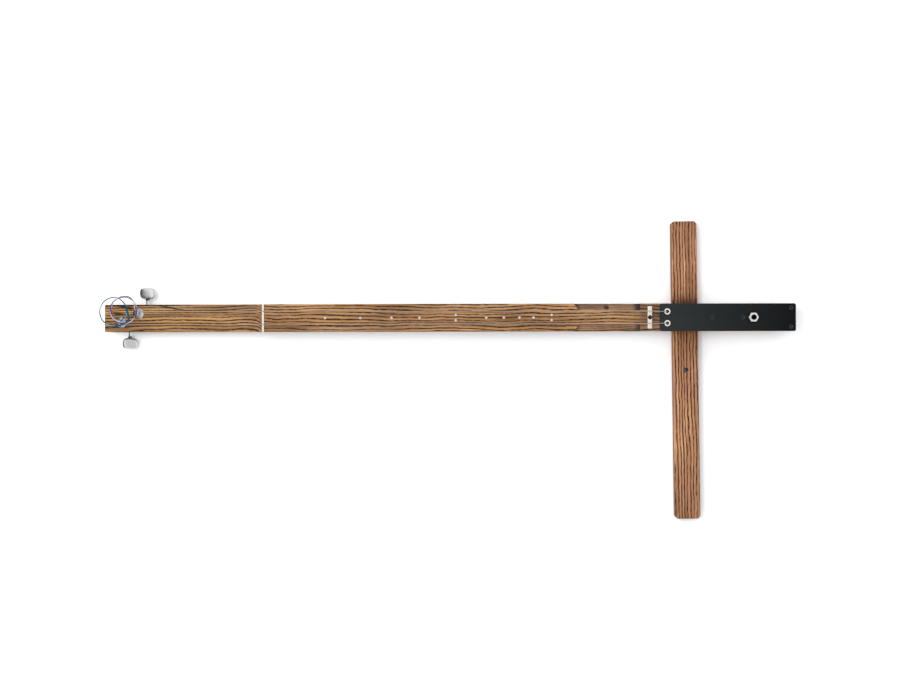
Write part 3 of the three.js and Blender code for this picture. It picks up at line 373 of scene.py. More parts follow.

# %% [markdown]
# The leg rest is the same wood, less toasted. It is browner beside the stick, and the wall of its spare hole is
# painted dark, as shade, because little light gets in.
# %% Marks on the leg rest
SPARE_RADIUS = 4.2 * MM
PIVOT_TO_SPARE = 85.3 * MM
spare_hole = middle("leg_rest_bolt") - Vector((0, PIVOT_TO_SPARE, 0))


def browner_beside_the_stick(finish, colour):
    """The bar is browner where it comes out from under the playing stick, and its spare hole's wall has painted
    shade.
    """
    _, y, z = finish.place.split()
    patch = finish.place.scaled(120, 60, 60).noise()
    beside = y.step(centre_y + 12 * MM, centre_y + 21 * MM) * (1 - y.step(centre_y + 23 * MM, centre_y + 41 * MM))
    beside = beside * z.step(rest_top - 4 * MM, rest_top - 1 * MM)
    # The bar is painted browner in a band beside the stick.
    toasted = (beside * (0.5 + patch * 0.5)).mix(colour, linear(50, 30, 20))
    # Painted shade: the wall of the spare hole is dark, as little light gets in.
    deep = (1 - finish.place.from_axis(spare_hole).step(SPARE_RADIUS, SPARE_RADIUS + 0.3 * MM)) * (
        1 - z.step(rest_top - 1.6 * MM, rest_top - 0.4 * MM))
    return deep.mix(toasted, linear(20, 13, 9))


rest_wood = ash("leg rest ash", math.radians(-90.9), (0.31, 0.105, 0.02), [
    (222, 168, 127), (175, 124, 90), (126, 82, 54)], browner_beside_the_stick, wander=0.5, line=(0.48, 0.8),
    line_tone=(30, 18, 12), floor_share=0.5, honey_share=0.25, ripple_depth=3.4 * MM, level=rest_top + 20 * MM)
print("wood finishes made")

# %% [markdown]
# Metals, plastics and thread
# A polished plate is never perfectly even, so each metal gets faint noise in its roughness and a hair of bump.
# %% Metals
UNEVENNESS = 0.06


def metal(name, colour, roughness, grain_scale, grain_depth, bore_shade=(), metallic=1.0):
    """A plated or machined metal, painted dark as shade inside bores that are given as axes and radii."""
    finish = Finish(name, roughness=roughness, metallic=metallic)
    fine = finish.place.noise(grain_scale, 3.0, 0.6)
    cloud = finish.place.noise(grain_scale / 18, 2.0, 0.5)
    tone = (cloud * 0.6 + fine * 0.4).mix([c * 0.93 for c in colour[:3]] + [1], colour)
    # Painted shade: inside each bore the metal is near black.
    for centre, radius in bore_shade:
        outside = finish.place.from_axis(centre).step(radius - 0.05 * MM, radius + 0.12 * MM)
        tone = outside.mix(linear(10, 10, 11), tone)
    rough = roughness - UNEVENNESS / 2 + (cloud + fine * 0.5) * UNEVENNESS
    return finish.fed(tone, rough, fine, grain_depth, 0.4)


chrome = metal("polished chrome", (0.83, 0.83, 0.87, 1), 0.1, 900, 0.01 * MM)
# The nickel has painted shade inside the jack's bore and the ferrules' bores.
nickel = metal("nickel plate", (0.92, 0.89, 0.84, 1), 0.26, 1400, 0.02 * MM, metallic=0.6, bore_shade=[
    (middle("jack_nut"), 4.2 * MM), (middle("top_ferrule_1"), 2.7 * MM), (middle("top_ferrule_2"), 2.7 * MM)])
brass = metal("machined brass", (0.66, 0.47, 0.20, 1), 0.3, 1200, 0.02 * MM)
black_steel = metal("black oxide", (0.055, 0.058, 0.062, 1), 0.42, 1600, 0.02 * MM)
screw_nodes = [f"plate_screw_{i}" for i in range(1, 6)]
# Painted shade: the hex socket in each screw head is dark.
screw_black = metal("blackened screw heads", (0.036, 0.038, 0.041, 1), 0.45, 1600, 0.02 * MM, metallic=0.5,
                    bore_shade=[(middle(node), 1.35 * MM) for node in screw_nodes])

# %% [markdown]
# Plate, bone, nylon and ceramic mirror little, so two close tones mixed by noise are enough for them. Pearl has
# layers that bend through each other, and distorted noise gives those.
# %% Plate, bone, pearl, nylon and ceramic


def satin_black():
    """The cover plate: matt black with a very fine texture and a mottle, greyer towards the bridge."""
    finish = Finish("satin black plate", roughness=0.5, Specular_IOR_Level=0.12)
    pebble = finish.place.noise(1500, 2.0, 0.5)
    cloud = finish.place.scaled(9, 14, 9).noise(1.0, 3.0, 0.6)
    along = ((finish.place.split()[0] - plate_low.x) / (stick_high.x - plate_low.x)).clamped()
    mottle = cloud * 0.7 + pebble * 0.3
    near_end = mottle.mix(linear(38, 42, 43), linear(50, 54, 55))
    far_end = mottle.mix(linear(4, 7, 8), linear(11, 15, 16))
    return finish.fed(along.mix(near_end, far_end), 0.42 + pebble * 0.16, pebble, 0.03 * MM, 0.6)


def plain_moulding(name, first, second, roughness, scale, shine=0.5):
    finish = Finish(name, roughness=roughness, Specular_IOR_Level=shine)
    cloud = finish.place.noise(scale, 4.0, 0.6)
    fine = finish.place.noise(scale * 14, 2.0, 0.5)
    tone = (cloud * 0.75 + fine * 0.25).mix(first, second)
    return finish.fed(tone, roughness - 0.05 + fine * 0.12, fine + cloud * 0.3, 0.02 * MM, 0.5)


def pearl():
    """Dots of pearly plastic: soft pinkish layers that bend through each other."""
    finish = Finish("pearl inlay", roughness=0.28, Coat_Weight=0.3)
    folds = finish.place.scaled(300, 700, 300).noise(1.0, 3.0, 0.6, 1.6)
    layers = [(0.3, linear(190, 172, 160)), (0.5, linear(212, 198, 187)), (0.7, linear(230, 219, 211))]
    finish.feed("Base Color", folds.ramp(layers))
    finish.feed("Roughness", 0.22 + folds * 0.14)
    return finish.material


plate_black = satin_black()
bone = plain_moulding("bone white", linear(220, 212, 201), linear(233, 228, 220), 0.42, 160)
pearl_dots = pearl()
nylon = plain_moulding("black nylon", linear(12, 12, 13), linear(26, 26, 27), 0.5, 300, shine=0.12)
ceramic = plain_moulding("piezo ceramic", linear(190, 172, 138), linear(210, 195, 160), 0.55, 400)
print("metals and mouldings made")

# %% [markdown]
# Strings and their silk ends
# The speaking length is wound with flat wire, so its shine is broken by fine rings. Past the post, coloured silk is
# laid in a spiral round the wire. Both follow the tube, so they read its own UV map: U round it, V along it in
# metres.
# %% Wound wire and silk
WIRE_TURNS = 2600
THREAD_TURNS = 4200


def wound_wire():
    """Flat wire wound round a core, in turns to the metre. Inside its ferrule the string has painted shade."""
    finish = Finish("flat-wound wire", metallic=0.6, roughness=0.34)
    u, v, _ = finish.uv.split()
    turns = (v * WIRE_TURNS + u).wave()
    cloud = finish.place.noise(240, 3.0, 0.6)
    shine = (turns * 0.25 + cloud * 0.6).clamped().mix((0.43, 0.39, 0.34, 1), (0.68, 0.64, 0.57, 1))
    x, _, z = finish.place.split()
    # Painted shade: the string is dark where it goes down into its ferrule.
    ferrule_shade = x.step(plate_low.x, plate_low.x + 1 * MM) * (1 - z.step(plate_top + 0.2 * MM, plate_top + 1.2 * MM))
    return finish.fed(ferrule_shade.mix(shine, linear(22, 21, 20)), 0.3 + cloud * 0.14, turns, 0.03 * MM, 0.6)


def silk(name, colour, deep, pale, pitch, share, plain_from=9.0):
    """Coloured and white thread wound side by side as a spiral over the wire, coloured only from plain_from on."""
    finish = Finish(name, roughness=0.72, Specular_IOR_Level=0.2)
    u, v, _ = finish.uv.split()
    spiral = (v / pitch + u).fraction()
    stripe = (spiral.between(0.04, share, 0.035) + v.step(plain_from, plain_from + 0.006)).clamped()
    lay = (v * THREAD_TURNS + u).wave() * 0.5 + 0.5
    fuzz = finish.place.noise(1800, 3.0, 0.6)
    tinted = (lay * 0.5 + fuzz * 0.5).mix(deep, colour)
    white = (lay * 0.4 + fuzz * 0.6).mix([c * 0.72 for c in pale[:3]] + [1], pale)
    return finish.fed(stripe.mix(white, tinted), 0.62 + fuzz * 0.2, lay + fuzz * 0.4, 0.06 * MM, 0.7)


wire = wound_wire()
blue_silk = silk("blue and white silk", linear(16, 108, 142), linear(4, 62, 88), linear(160, 184, 196), 0.034, 0.76,
                 plain_from=0.134)
purple_silk = silk("purple and white silk", linear(96, 64, 134), linear(52, 32, 90), linear(218, 202, 218),
                   0.036, 0.6)
print("string finishes made")

# %% [markdown]
# Finishes on the pieces that stay as they are
# A CAD node whose shape is right only needs its slots filled.
# %% Fill the slots
SLOT_FINISHES = {
    "toasted_ash": wood, "rest_ash": rest_wood, "bone": bone, "pearl": pearl_dots, "black_plate": plate_black,
    "black_steel": black_steel, "nickel": nickel, "chrome": chrome, "brass": brass, "black_nylon": nylon,
    "string_wire": wire, "ceramic": ceramic, "blue_silk": blue_silk, "purple_silk": purple_silk,
}
node_slots = {part["node"]: part["material_slot"] for part in frame["record"]["subparts"]}
for node_name, slot_name in node_slots.items():
    node_materials = (bpy.data.objects.get(node_name) or frame["nodes"][node_name]).data.materials
    node_materials.clear()
    node_materials.append(SLOT_FINISHES[slot_name])
print("nodes with a finish:", len(node_slots))

body_of_node = {node: body for body, nodes in frame["record"]["behaviour"]["bodies"].items() for node in nodes}


def dress(name, mesh, *nodes, material=None):
    """Puts a finished mesh in the scene in place of CAD nodes, on the body that carries them."""
    piece = put(name, mesh)
    mesh.materials.clear()
    mesh.materials.append(material or SLOT_FINISHES[node_slots[nodes[0]]])
    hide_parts(*nodes)
    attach(piece, body_of_node[nodes[0]])
    return piece


# %% [markdown]
# Turned and lofted meshes
# Most of the metal is turned, so one function revolves a profile. It also takes a radius that changes with the
# angle, which is all that a hexagon needs. Tubes and buttons are rings too, so they share the faces between rings.
# %% Mesh helpers


def finish_mesh(bm, name, smooth_angle):
    """Closes the seams, turns the faces outwards and keeps edges over the angle sharp."""
    bmesh.ops.remove_doubles(bm, verts=bm.verts, dist=1e-7)
    bmesh.ops.recalc_face_normals(bm, faces=bm.faces)
    mesh = bpy.data.meshes.new(name)
    bm.to_mesh(mesh)
    bm.free()
    mesh.shade_smooth()
    mesh.set_sharp_from_angle(angle=math.radians(smooth_angle))
    return mesh


def circle(sides):
    return [2 * math.pi * k / sides for k in range(sides)]


def skin(bm, first, second):
    """Faces from ring to ring. A ring of one vertex is a pole."""
    faces = []
    for k in range(max(len(first), len(second))):
        corners = [first[k % len(first)], first[(k + 1) % len(first)], second[(k + 1) % len(second)],
                   second[k % len(second)]]
        faces.append(bm.faces.new(list(dict.fromkeys(corners))))
    return faces


def revolve(name, profile, place=(0, 0, 0), axis=(0, 0, 1), sides=64, spin=0.0, smooth_angle=32):
    """Revolves [radius, height] pairs in millimetres. A radius may be a function of the angle."""
    bm = bmesh.new()
    turn = Vector((0, 0, 1)).rotation_difference(Vector(axis)).to_matrix().to_4x4()
    matrix = Matrix.Translation(place) @ turn @ Matrix.Rotation(spin, 4, "Z")
    rings = []
    for radius, height in profile:
        ring = []
        for angle in [0.0] if radius == 0 else circle(sides):
            reach = radius(angle) if callable(radius) else radius
            point = Vector((reach * math.cos(angle), reach * math.sin(angle), height)) * MM
            ring.append(bm.verts.new(matrix @ point))
        rings.append(ring)
    for first, second in zip(rings, rings[1:]):
        skin(bm, first, second)
    if len(rings[0]) > 1:
        skin(bm, rings[-1], rings[0])
    return finish_mesh(bm, name, smooth_angle)


def flats(corners, across, crown=None):
    """The reach of a shape with flat sides at each angle, cut off at the crown where one is given."""
    def reach(angle):
        flat = (angle + math.pi / corners) % (2 * math.pi / corners) - math.pi / corners
        edge = across / 2 / math.cos(flat)
        return min(edge, crown) if crown else edge
    return reach


def hexagon(across, crown=None):
    return flats(6, across, crown)


def thread(root, depth, start, pitch, count, hold=1):
    """Root and crest in turn, each held for some stations of a profile."""
    return [[root + depth * (k // hold % 2), start + k * pitch] for k in range(count)]


END_SHARE = 0.45


def tube(name, points, radius_at, sides=12):
    """A closed tube through points, with U round it and V along it in metres on its UV map."""
    bm = bmesh.new()
    uv_layer = bm.loops.layers.uv.new("UVMap")
    along = [0.0]
    for first, second in zip(points, points[1:]):
        along.append(along[-1] + (second - first).length)
    last = len(points) - 1
    tangents = [(points[min(i + 1, last)] - points[max(i - 1, 0)]).normalized() for i in range(last + 1)]
    helper = Vector((0, 0, 1)) if abs(tangents[0].z) < 0.9 else Vector((1, 0, 0))
    across = helper.cross(tangents[0]).normalized()
    stations = [(0, END_SHARE)] + [(i, 1.0) for i in range(last + 1)] + [(last, END_SHARE)]
    rings = []
    for i, share in stations:
        across = (across - tangents[i] * across.dot(tangents[i])).normalized()
        up = tangents[i].cross(across)
        radius = radius_at(i) * share
        rings.append([bm.verts.new(points[i] + (across * math.cos(angle) + up * math.sin(angle)) * radius)
                      for angle in circle(sides)])
    for i in range(len(rings) - 1):
        for k, face in enumerate(skin(bm, rings[i], rings[i + 1])):
            for loop, (around, station) in zip(face.loops, [(k, i), (k + 1, i), (k + 1, i + 1), (k, i + 1)]):
                loop[uv_layer].uv = (around / sides, along[stations[station][0]])
    bm.faces.new(list(reversed(rings[0])))
    bm.faces.new(rings[-1])
    return finish_mesh(bm, name, 50)


def smooth_path(points, steps):
    """A centripetal Catmull-Rom curve through the points."""
    dense = []
    run = [points[0] * 2 - points[1], *points, points[-1] * 2 - points[-2]]
    for four in zip(run, run[1:], run[2:], run[3:]):
        knots = [0.0]
        for first, second in zip(four, four[1:]):
            knots.append(knots[-1] + max((second - first).length, 1e-9) ** 0.5)
        for k in range(steps):
            t = knots[1] + (knots[2] - knots[1]) * k / steps
            blend = four
            for spans in (((0, 1), (1, 2), (2, 3)), ((0, 2), (1, 3)), ((1, 2),)):
                blend = [first.lerp(second, (t - knots[a]) / (knots[b] - knots[a]))
                         for first, second, (a, b) in zip(blend, blend[1:], spans)]
            dense.append(blend[0])
    dense.append(points[-1])
    return dense


# %% [markdown]
# The white floor and the soft light
# One square lamp, high on the left and a little to the back, throws the soft shadow to the right. The camera sees the
# floor a little brighter than the object does, past white, so that only shadows show on it. The sky is dimmer on the
# right. Metal mirrors a sky of its own, darker on the left, which gives the chrome its grey side.
# %% Stage
FLOOR_TONE = (0.88, 0.88, 0.88, 1)
FLOOR_SEEN = (1.17, 1.205, 1.23, 1)
FLOOR_REACH = 20
WORLD_LEVEL = 1.25
DIM_SIDE = 0.35
MIRROR_STOPS = [(-1, 0.03), (-0.5, 0.06), (-0.3, 0.18), (-0.12, 0.44), (0, 0.85), (0.16, 0.97), (0.32, 0.87),
                (0.6, 0.66), (0.8, 0.66), (1, 0.95)]
LAMP_PLACE = (-1.05, 0.45, 2.7)
LAMP_SIDE = 0.8
LAMP_POWER = 19

floor_finish = Finish("pale floor", roughness=0.9, Specular_IOR_Level=0.0)
seen = floor_finish.place.node("ShaderNodeLightPath", {}, output="Is Camera Ray")
floor_finish.feed("Base Color", seen.mix(FLOOR_TONE, FLOOR_SEEN))
floor_mesh = bpy.data.meshes.new("floor")
floor_corners = [(x * FLOOR_REACH, y * FLOOR_REACH, 0) for x, y in ((-1, -1), (1, -1), (1, 1), (-1, 1))]
floor_mesh.from_pydata(floor_corners, [], [(0, 1, 2, 3)])
floor = put("floor", floor_mesh)
floor.location.z = -0.4 * MM
floor_mesh.materials.append(floor_finish.material)

world = bpy.data.worlds.new("studio")
bpy.context.scene.world = world
world.use_nodes = True
sky = world.node_tree.nodes["Background"]
direction = add_node(world.node_tree, "ShaderNodeTexCoord", {}, output="Generated")
to_right, to_back, _ = direction.split()
brightness = (to_back * 0.55 - to_right * 0.7).step(-0.8, 0.4) * (1 - DIM_SIDE) + DIM_SIDE
mirror_stops = [((place + 1) / 2, (level, level, level, 1)) for place, level in MIRROR_STOPS]
mirrored = (to_right * 0.5 + to_back * 0.12 + 0.5).clamped().ramp(mirror_stops)
strength = brightness * WORLD_LEVEL
strength = strength + direction.node("ShaderNodeLightPath", {}, output="Is Glossy Ray") * (mirrored - strength)
strength = strength + direction.node("ShaderNodeLightPath", {}, output="Is Camera Ray") * (1 - strength)
world.node_tree.links.new(strength.socket, sky.inputs["Strength"])
sky.inputs["Color"].default_value = (1, 1, 1, 1)

lamp_data = bpy.data.lights.new("key", "AREA")
lamp_data.size = LAMP_SIDE
lamp_data.energy = LAMP_POWER
lamp = put("key", lamp_data)
lamp.location = LAMP_PLACE
lamp.rotation_euler = (-Vector(LAMP_PLACE)).to_track_quat("-Z", "Y").to_euler()
lamp.visible_camera = False
lamp.visible_glossy = False
print("stage set, with a lamp of", LAMP_POWER, "W")

# %% [markdown]
# Position dots
# The dots follow a rule: dot n lies at the scale length times 1 minus 2 to the power of minus n over 12. The tree
# works that out for each point, whose X is its number, so one small disc makes all of them.
# %% Dots by rule
SCALE_LENGTH = 0.615
NOTES = 12
DOT_RADIUS = 2.0


def evaluated(thing):
    """A plain mesh of an object with its modifiers applied."""
    bpy.context.view_layer.update()
    return bpy.data.meshes.new_from_object(thing.evaluated_get(bpy.context.evaluated_depsgraph_get()))


def copies(name, points, piece_mesh, finish, rule=None, sizes=None):
    """Runs the tree on a cloud of points and returns its result as a plain mesh."""
    tree = copies_tree(name, rule)
    seed_mesh = bpy.data.meshes.new(name + "_points")
    seed_mesh.from_pydata(points, [], [])
    holder, piece = put(name + "_points", seed_mesh), put(name + "_piece", piece_mesh)
    modifier = holder.modifiers.new("nodes", "NODES")
    modifier.node_group = tree
    sockets = {item.name: item.identifier for item in tree.interface.items_tree if item.in_out == "INPUT"}
    for socket_name, value in {"Piece": piece, "Finish": finish, **(sizes or {})}.items():
        modifier[sockets[socket_name]] = value
    mesh = evaluated(holder)
    holder.modifiers.remove(modifier)
    bpy.data.objects.remove(holder)
    bpy.data.objects.remove(piece)
    return mesh


def copies_tree(name, rule=None):
    """Copies an object to every point, after an optional rule has moved the points."""
    tree = bpy.data.node_groups.new(name, "GeometryNodeTree")
    kinds = {"Geometry": "Geometry", "Piece": "Object", "Finish": "Material"}
    if rule:
        kinds.update({"Scale length": "Float", "Zero": "Vector"})
    for input_name, kind in kinds.items():
        tree.interface.new_socket(name=input_name, in_out="INPUT", socket_type="NodeSocket" + kind)
    tree.interface.new_socket(name="Geometry", in_out="OUTPUT", socket_type="NodeSocketGeometry")
    group_in = tree.nodes.new("NodeGroupInput")
    given = {input_name: Shade(tree, group_in.outputs[input_name]) for input_name in kinds}
    points = rule(tree, given) if rule else given["Geometry"]
    piece = add_node(tree, "GeometryNodeObjectInfo", {"Object": given["Piece"]}, output="Geometry")
    placed = add_node(tree, "GeometryNodeInstanceOnPoints", {"Points": points, "Instance": piece})
    real = add_node(tree, "GeometryNodeRealizeInstances", {"Geometry": placed})
    finished = add_node(tree, "GeometryNodeSetMaterial", {"Geometry": real, "Material": given["Finish"]})
    tree.links.new(finished.socket, tree.nodes.new("NodeGroupOutput").inputs["Geometry"])
    return tree


def fret_rule(tree, given):
    """X holds the dot's number and Y its step off the centre line; both become a place on the board."""
    number, off_centre, _ = add_node(tree, "GeometryNodeInputPosition", {}).split()
    along = (1 - 2 ** (number / -NOTES)) * given["Scale length"]
    place = add_node(tree, "ShaderNodeCombineXYZ", {0: along, 1: off_centre})
    return add_node(tree, "GeometryNodeSetPosition", {
        "Geometry": given["Geometry"], "Position": place.vector_math("ADD", given["Zero"])})


dot_nodes = sorted(name for name in node_slots if name.startswith("dot_"))
dot_points = [(int(name.split("_")[1]), middle(name).y - centre_y, 0) for name in dot_nodes]
dot_disc = revolve("dot_disc", [
    [0, -1.4], [DOT_RADIUS, -1.4], [DOT_RADIUS, -0.12], [DOT_RADIUS - 0.08, -0.02], [DOT_RADIUS - 0.25, 0], [0, 0]],
    sides=40)
dots_mesh = copies("position_dots", dot_points, dot_disc, pearl_dots, fret_rule, {
    "Scale length": SCALE_LENGTH, "Zero": (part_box("nut")[1].x, centre_y, stick_top)})
dress("position_dots", dots_mesh, *dot_nodes)
print("dots:", len(dot_points))

# %% [markdown]
# Plate screws
# Five countersunk screws with hexagon sockets hold the plate. They are all alike, so the same tree, without the
# dots' rule, copies one detailed screw to their places.
# %% Screws on the plate
HEAD, SHANK, LENGTH = 3.5, 1.5, 13.0
TIP, PITCH = 2, 0.75
screw_profile = [[0, -LENGTH], [SHANK * 0.4, -LENGTH], [SHANK * 0.86, TIP - LENGTH]]
for turn in range(12):
    z = TIP - LENGTH + turn * PITCH
    screw_profile += [[SHANK * 0.84, z], [SHANK * 0.98, z + 0.35], [SHANK * 0.84, z + 0.7]]
screw_profile += [[SHANK, -2.2], [HEAD - 0.1, -0.34], [HEAD, -0.2], [HEAD, -0.08], [HEAD - 0.12, 0],
                  [hexagon(2.75), 0], [hexagon(2.55), -0.14], [hexagon(2.5), -1.5], [0, -1.75]]
screw_points = [middle(node, plate_top) for node in screw_nodes]
screw_mesh = revolve("countersunk_screw", screw_profile, sides=48, smooth_angle=25)
screws_mesh = copies("plate_screws", screw_points, screw_mesh, screw_black)
dress("plate_screws", screws_mesh, *screw_nodes, material=screw_black)
print("plate screws:", len(screw_points))

# %% [markdown]
# Ferrules, bridge screw and jack
# These are turned parts, so their profiles carry the small radii that catch the light. One function revolves a
# profile in place of a node. A profile that hangs on the node's height is a function of it.
# %% Turned fittings on the top
SMALL_PART = {"sides": 56, "smooth_angle": 25}
SIX_SIDED = {"sides": 96, "smooth_angle": 20}


def turned(name, node, profile, place=None, **shape):
    """Stands a turned piece on the foot of its node, where no other place is given."""
    if callable(profile):
        profile = profile(tall(node))
    return dress(name, revolve(name, profile, place or foot(node), **shape), node)


for i in (1, 2):
    turned(f"ferrule_{i}", f"top_ferrule_{i}", [
        [2.2, -4.4], [3.4, -4.4], [3.4, 0.02], [4.85, 0.02], [5.0, 0.15], [5.0, 0.6], [4.86, 0.86], [4.5, 0.98],
        [3.2, 1.0], [2.7, 0.9], [2.35, 0.62], [2.2, 0.2]], middle(f"top_ferrule_{i}", plate_top))

turned("bridge_cap_screw", "bridge_screw", [
    [0, -21], [1.0, -21], [1.6, -19.8], [1.6, -4], [3.3, -4], [3.4, -3.9], [3.4, -0.5], [3.25, -0.15], [2.9, 0],
    [hexagon(3.1), 0], [hexagon(2.95), -0.15], [hexagon(2.9), -2.1], [0, -2.5]],
    middle("bridge_screw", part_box("bridge_screw")[1].z))

jack_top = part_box("jack_body")[1].z
jack_depth = tall("jack_body")
barrel_top = -(jack_top - stick_top) / MM
thread_low = barrel_top + 2.6
turned("jack_barrel", "jack_body", [
    [0, -jack_depth], [6.5, -jack_depth], [6.9, -jack_depth + 0.4], [7.0, -jack_depth + 1],
    [7.0, barrel_top - 3.1], [7.7, barrel_top - 3.0], [7.7, barrel_top - 0.3], [4.6, barrel_top - 0.25]]
    + thread(4.5, 0.22, thread_low, (-thread_low - 0.5) / 18, 18)
    + [[4.5, -0.45], [4.3, -0.05], [3.75, 0], [3.35, -0.3], [3.25, -0.8], [3.25, -jack_depth + 1.6],
       [0, -jack_depth + 1.5]], middle("jack_body", jack_top), sides=56)
turned("jack_hex_nut", "jack_nut", lambda top: [
    [4.92, 0.0], [hexagon(13.9, 7.9), 0.0], [hexagon(14, 8.0), 0.15], [hexagon(14, 8.0), top - 0.62],
    [hexagon(13.98, 7.55), top - 0.36], [hexagon(13.7, 7.1), top - 0.08], [6.75, top], [5.5, top], [5.0, top - 0.45],
    [4.92, top - 0.9]], spin=math.pi / 6, **SIX_SIDED)
turned("jack_ring", "jack_washer", lambda top: [
    [4.95, 0.02], [8.85, 0.02], [9.0, 0.15], [9.0, top - 0.25], [8.8, top], [7.6, top], [7.4, top - 0.06],
    [4.95, top - 0.06]])
print("the jack reaches", round(jack_depth, 1), "mm down")

# %% [markdown]
# The bolt that the leg rest turns on screws into a brass insert in the stick. Their threads are rings and not
# helices, because rings look the same at this size and close more easily.
# %% Bolt, insert and the ferrules on the back
turned("swivel_bolt", "leg_rest_bolt", lambda top: [
    [0, 3.0], [hexagon(5.9), 2.7], [hexagon(6), 0.15], [hexagon(6.3), 0], [6.0, 0], [6.35, 0.12], [6.5, 0.5],
    [6.5, 5.75], [6.4, 6.0], [4.0, 6.0], [4.0, 12]] + thread(3.55, 0.45, 12.4, 0.5, int((top - 14) / 0.5))
    + [[3.2, top - 0.2], [2.9, top], [0, top]], **SMALL_PART)
turned("swivel_washer", "bolt_washer", lambda top: [
    [4.3, 0.1], [4.4, 0], [8.3, 0], [8.5, 0.15], [8.5, top - 0.2], [8.35, top], [4.4, top], [4.3, top - 0.1]],
    **SMALL_PART)
turned("brass_insert", "threaded_insert", lambda top: [
    [4.15, 0.2], [4.35, 0], [5.8, 0], [6.0, 0.2]] + thread(5.35, 0.65, 1, 0.55, int((top - 2) / 0.55), hold=2)
    + [[5.7, top - 0.1], [5.6, top], [4.3, top], [4.15, top - 0.2]], **SMALL_PART)
for i in (1, 2):
    turned(f"back_cup_{i}", f"back_ferrule_{i}", lambda top: [
        [2.4, 0.15], [2.55, 0], [4.3, 0], [4.45, 0.1], [4.5, 0.3], [4.5, top - 0.3], [4.2, top], [1.3, top],
        [1.2, top - 0.15], [1.2, top - 1.5], [2.25, top - 1.5], [2.4, top - 1.7]], **SMALL_PART)
print("fittings turned")

# %% [markdown]
# Machine heads
# A machine head shows a round washer, a six-sided bushing and the post on top of the wood, and a button beside it.
# All but the button come from profiles.
# %% Bushings and washers
SIDES = {1: 1, 2: -1}
BUSHING_TURNS = {1: 8, 2: 35}
for i in SIDES:
    turned(f"post_washer_{i}", f"tuner_{i}_washer", lambda top: [
        [5.05, 0], [8.45, 0], [8.6, 0.12], [8.55, top * 0.55], [8.25, top * 0.85], [7.6, top], [5.2, top],
        [5.05, top - 0.1]], sides=80)
    turned(f"hex_bushing_{i}", f"tuner_{i}_bushing", lambda top: [
        [3.3, 0], [4.8, 0], [4.8, top - 3.4], [hexagon(10.9, 6.2), top - 3.4], [hexagon(11, 6.3), top - 3.25],
        [hexagon(11, 6.3), top - 0.95], [hexagon(10.95, 5.9), top - 0.6], [hexagon(10.8, 5.5), top - 0.3],
        [5.1, top - 0.05], [4.8, top], [3.7, top], [3.4, top - 0.2], [3.3, top - 0.6]],
        middle(f"tuner_{i}_washer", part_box(f"tuner_{i}_bushing")[0].z), spin=math.radians(BUSHING_TURNS[i]),
        **SIX_SIDED)
print("bushings and washers turned")

# %% [markdown]
# A post is turned too, with a square seat for its wheel. A Boolean drills the hole for the string's tail, because the
# hole's edge on a round post is no simple curve.
# %% Posts with their cross holes
POST_HOLE_HEIGHT = 27 * MM
TAIL_WAYS = {1: 100, 2: 40}


def cut_away(mesh, cutter, name):
    """Takes one closed mesh out of another."""
    body, tool = put(name, mesh), put(name + "_tool", cutter)
    modifier = body.modifiers.new("cut", "BOOLEAN")
    modifier.solver = "EXACT"
    modifier.object = tool
    bm = bmesh.new()
    bm.from_mesh(evaluated(body))
    bpy.data.objects.remove(body)
    bpy.data.objects.remove(tool)
    return finish_mesh(bm, name, 28)


for i in SIDES:
    base = middle(f"tuner_{i}_washer", stick_base)
    post = revolve(f"post_{i}", [
        [0, -12.2], [1.6, -12.2], [1.8, -12.0], [1.8, -9.6], [flats(4, 4.2), -9.5], [flats(4, 4.2), -4.4],
        [2.95, -4.3], [3.0, -4.1], [3.0, 21.3], [2.6, 21.6], [2.5, 21.9], [2.5, 28.0], [2.65, 28.35], [3.1, 28.6],
        [3.2, 28.8], [3.2, 29.35], [3.05, 29.65], [2.5, 29.95], [2.2, 30], [1.3, 30], [1.15, 29.9], [1.0, 29.5],
        [0, 29.45]], base, smooth_angle=28)
    way = math.radians(TAIL_WAYS[i])
    drill = revolve(f"drill_{i}", [[0, -6], [1.05, -6], [1.05, 6], [0, 6]], base + Vector((0, 0, POST_HOLE_HEIGHT)),
                    axis=(math.cos(way), math.sin(way), 0), sides=32)
    dress(f"slotted_post_{i}", cut_away(post, drill, f"post_{i}"), f"tuner_{i}_post")
print("posts drilled")

# %% [markdown]
# The button is the one soft form. It is lofted from its outline: each ring of the loft is the outline drawn in a
# little and lifted a little, as a pressed cap is.
# %% Buttons
BUTTON_LENGTH, BUTTON_WIDTH, BUTTON_THICKNESS = 18.6, 25.2, 7.6
BUTTON_TURNS = {1: 4, 2: 28}
BUTTON_LOFT = [(1.0, 0.0), (0.997, 0.2), (0.985, 0.38), (0.962, 0.54), (0.92, 0.67), (0.85, 0.78), (0.75, 0.86),
               (0.62, 0.92), (0.48, 0.96), (0.33, 0.985), (0.17, 0.997), (0, 1)]


def button_outline(half, length, steps=8):
    """Half the outline as Bezier stretches from the neck round the wide outer end, mirrored for the other half."""
    curve = [(0, 0), (1.5, 0), (2.6, 0),
             (3.4, 0), (half * 0.5, 0), (half * 0.84, length * 0.06),
             (half * 0.93, length * 0.24), (half * 0.98, length * 0.34), (half, length * 0.42),
             (half, length * 0.54), (half, length * 0.72), (half * 0.94, length * 0.85),
             (half * 0.78, length * 0.91), (half * 0.58, length * 0.975), (half * 0.28, length), (0, length)]
    points = []
    for start in range(0, len(curve) - 1, 3):
        for k in range(steps):
            t = k / steps
            weights = ((1 - t) ** 3, 3 * t * (1 - t) ** 2, 3 * t * t * (1 - t), t ** 3)
            points.append([sum(w * p[axis] for w, p in zip(weights, curve[start:start + 4])) for axis in (0, 1)])
    points.append((0, length))
    return points + [(-x, y) for x, y in reversed(points[1:-1])]


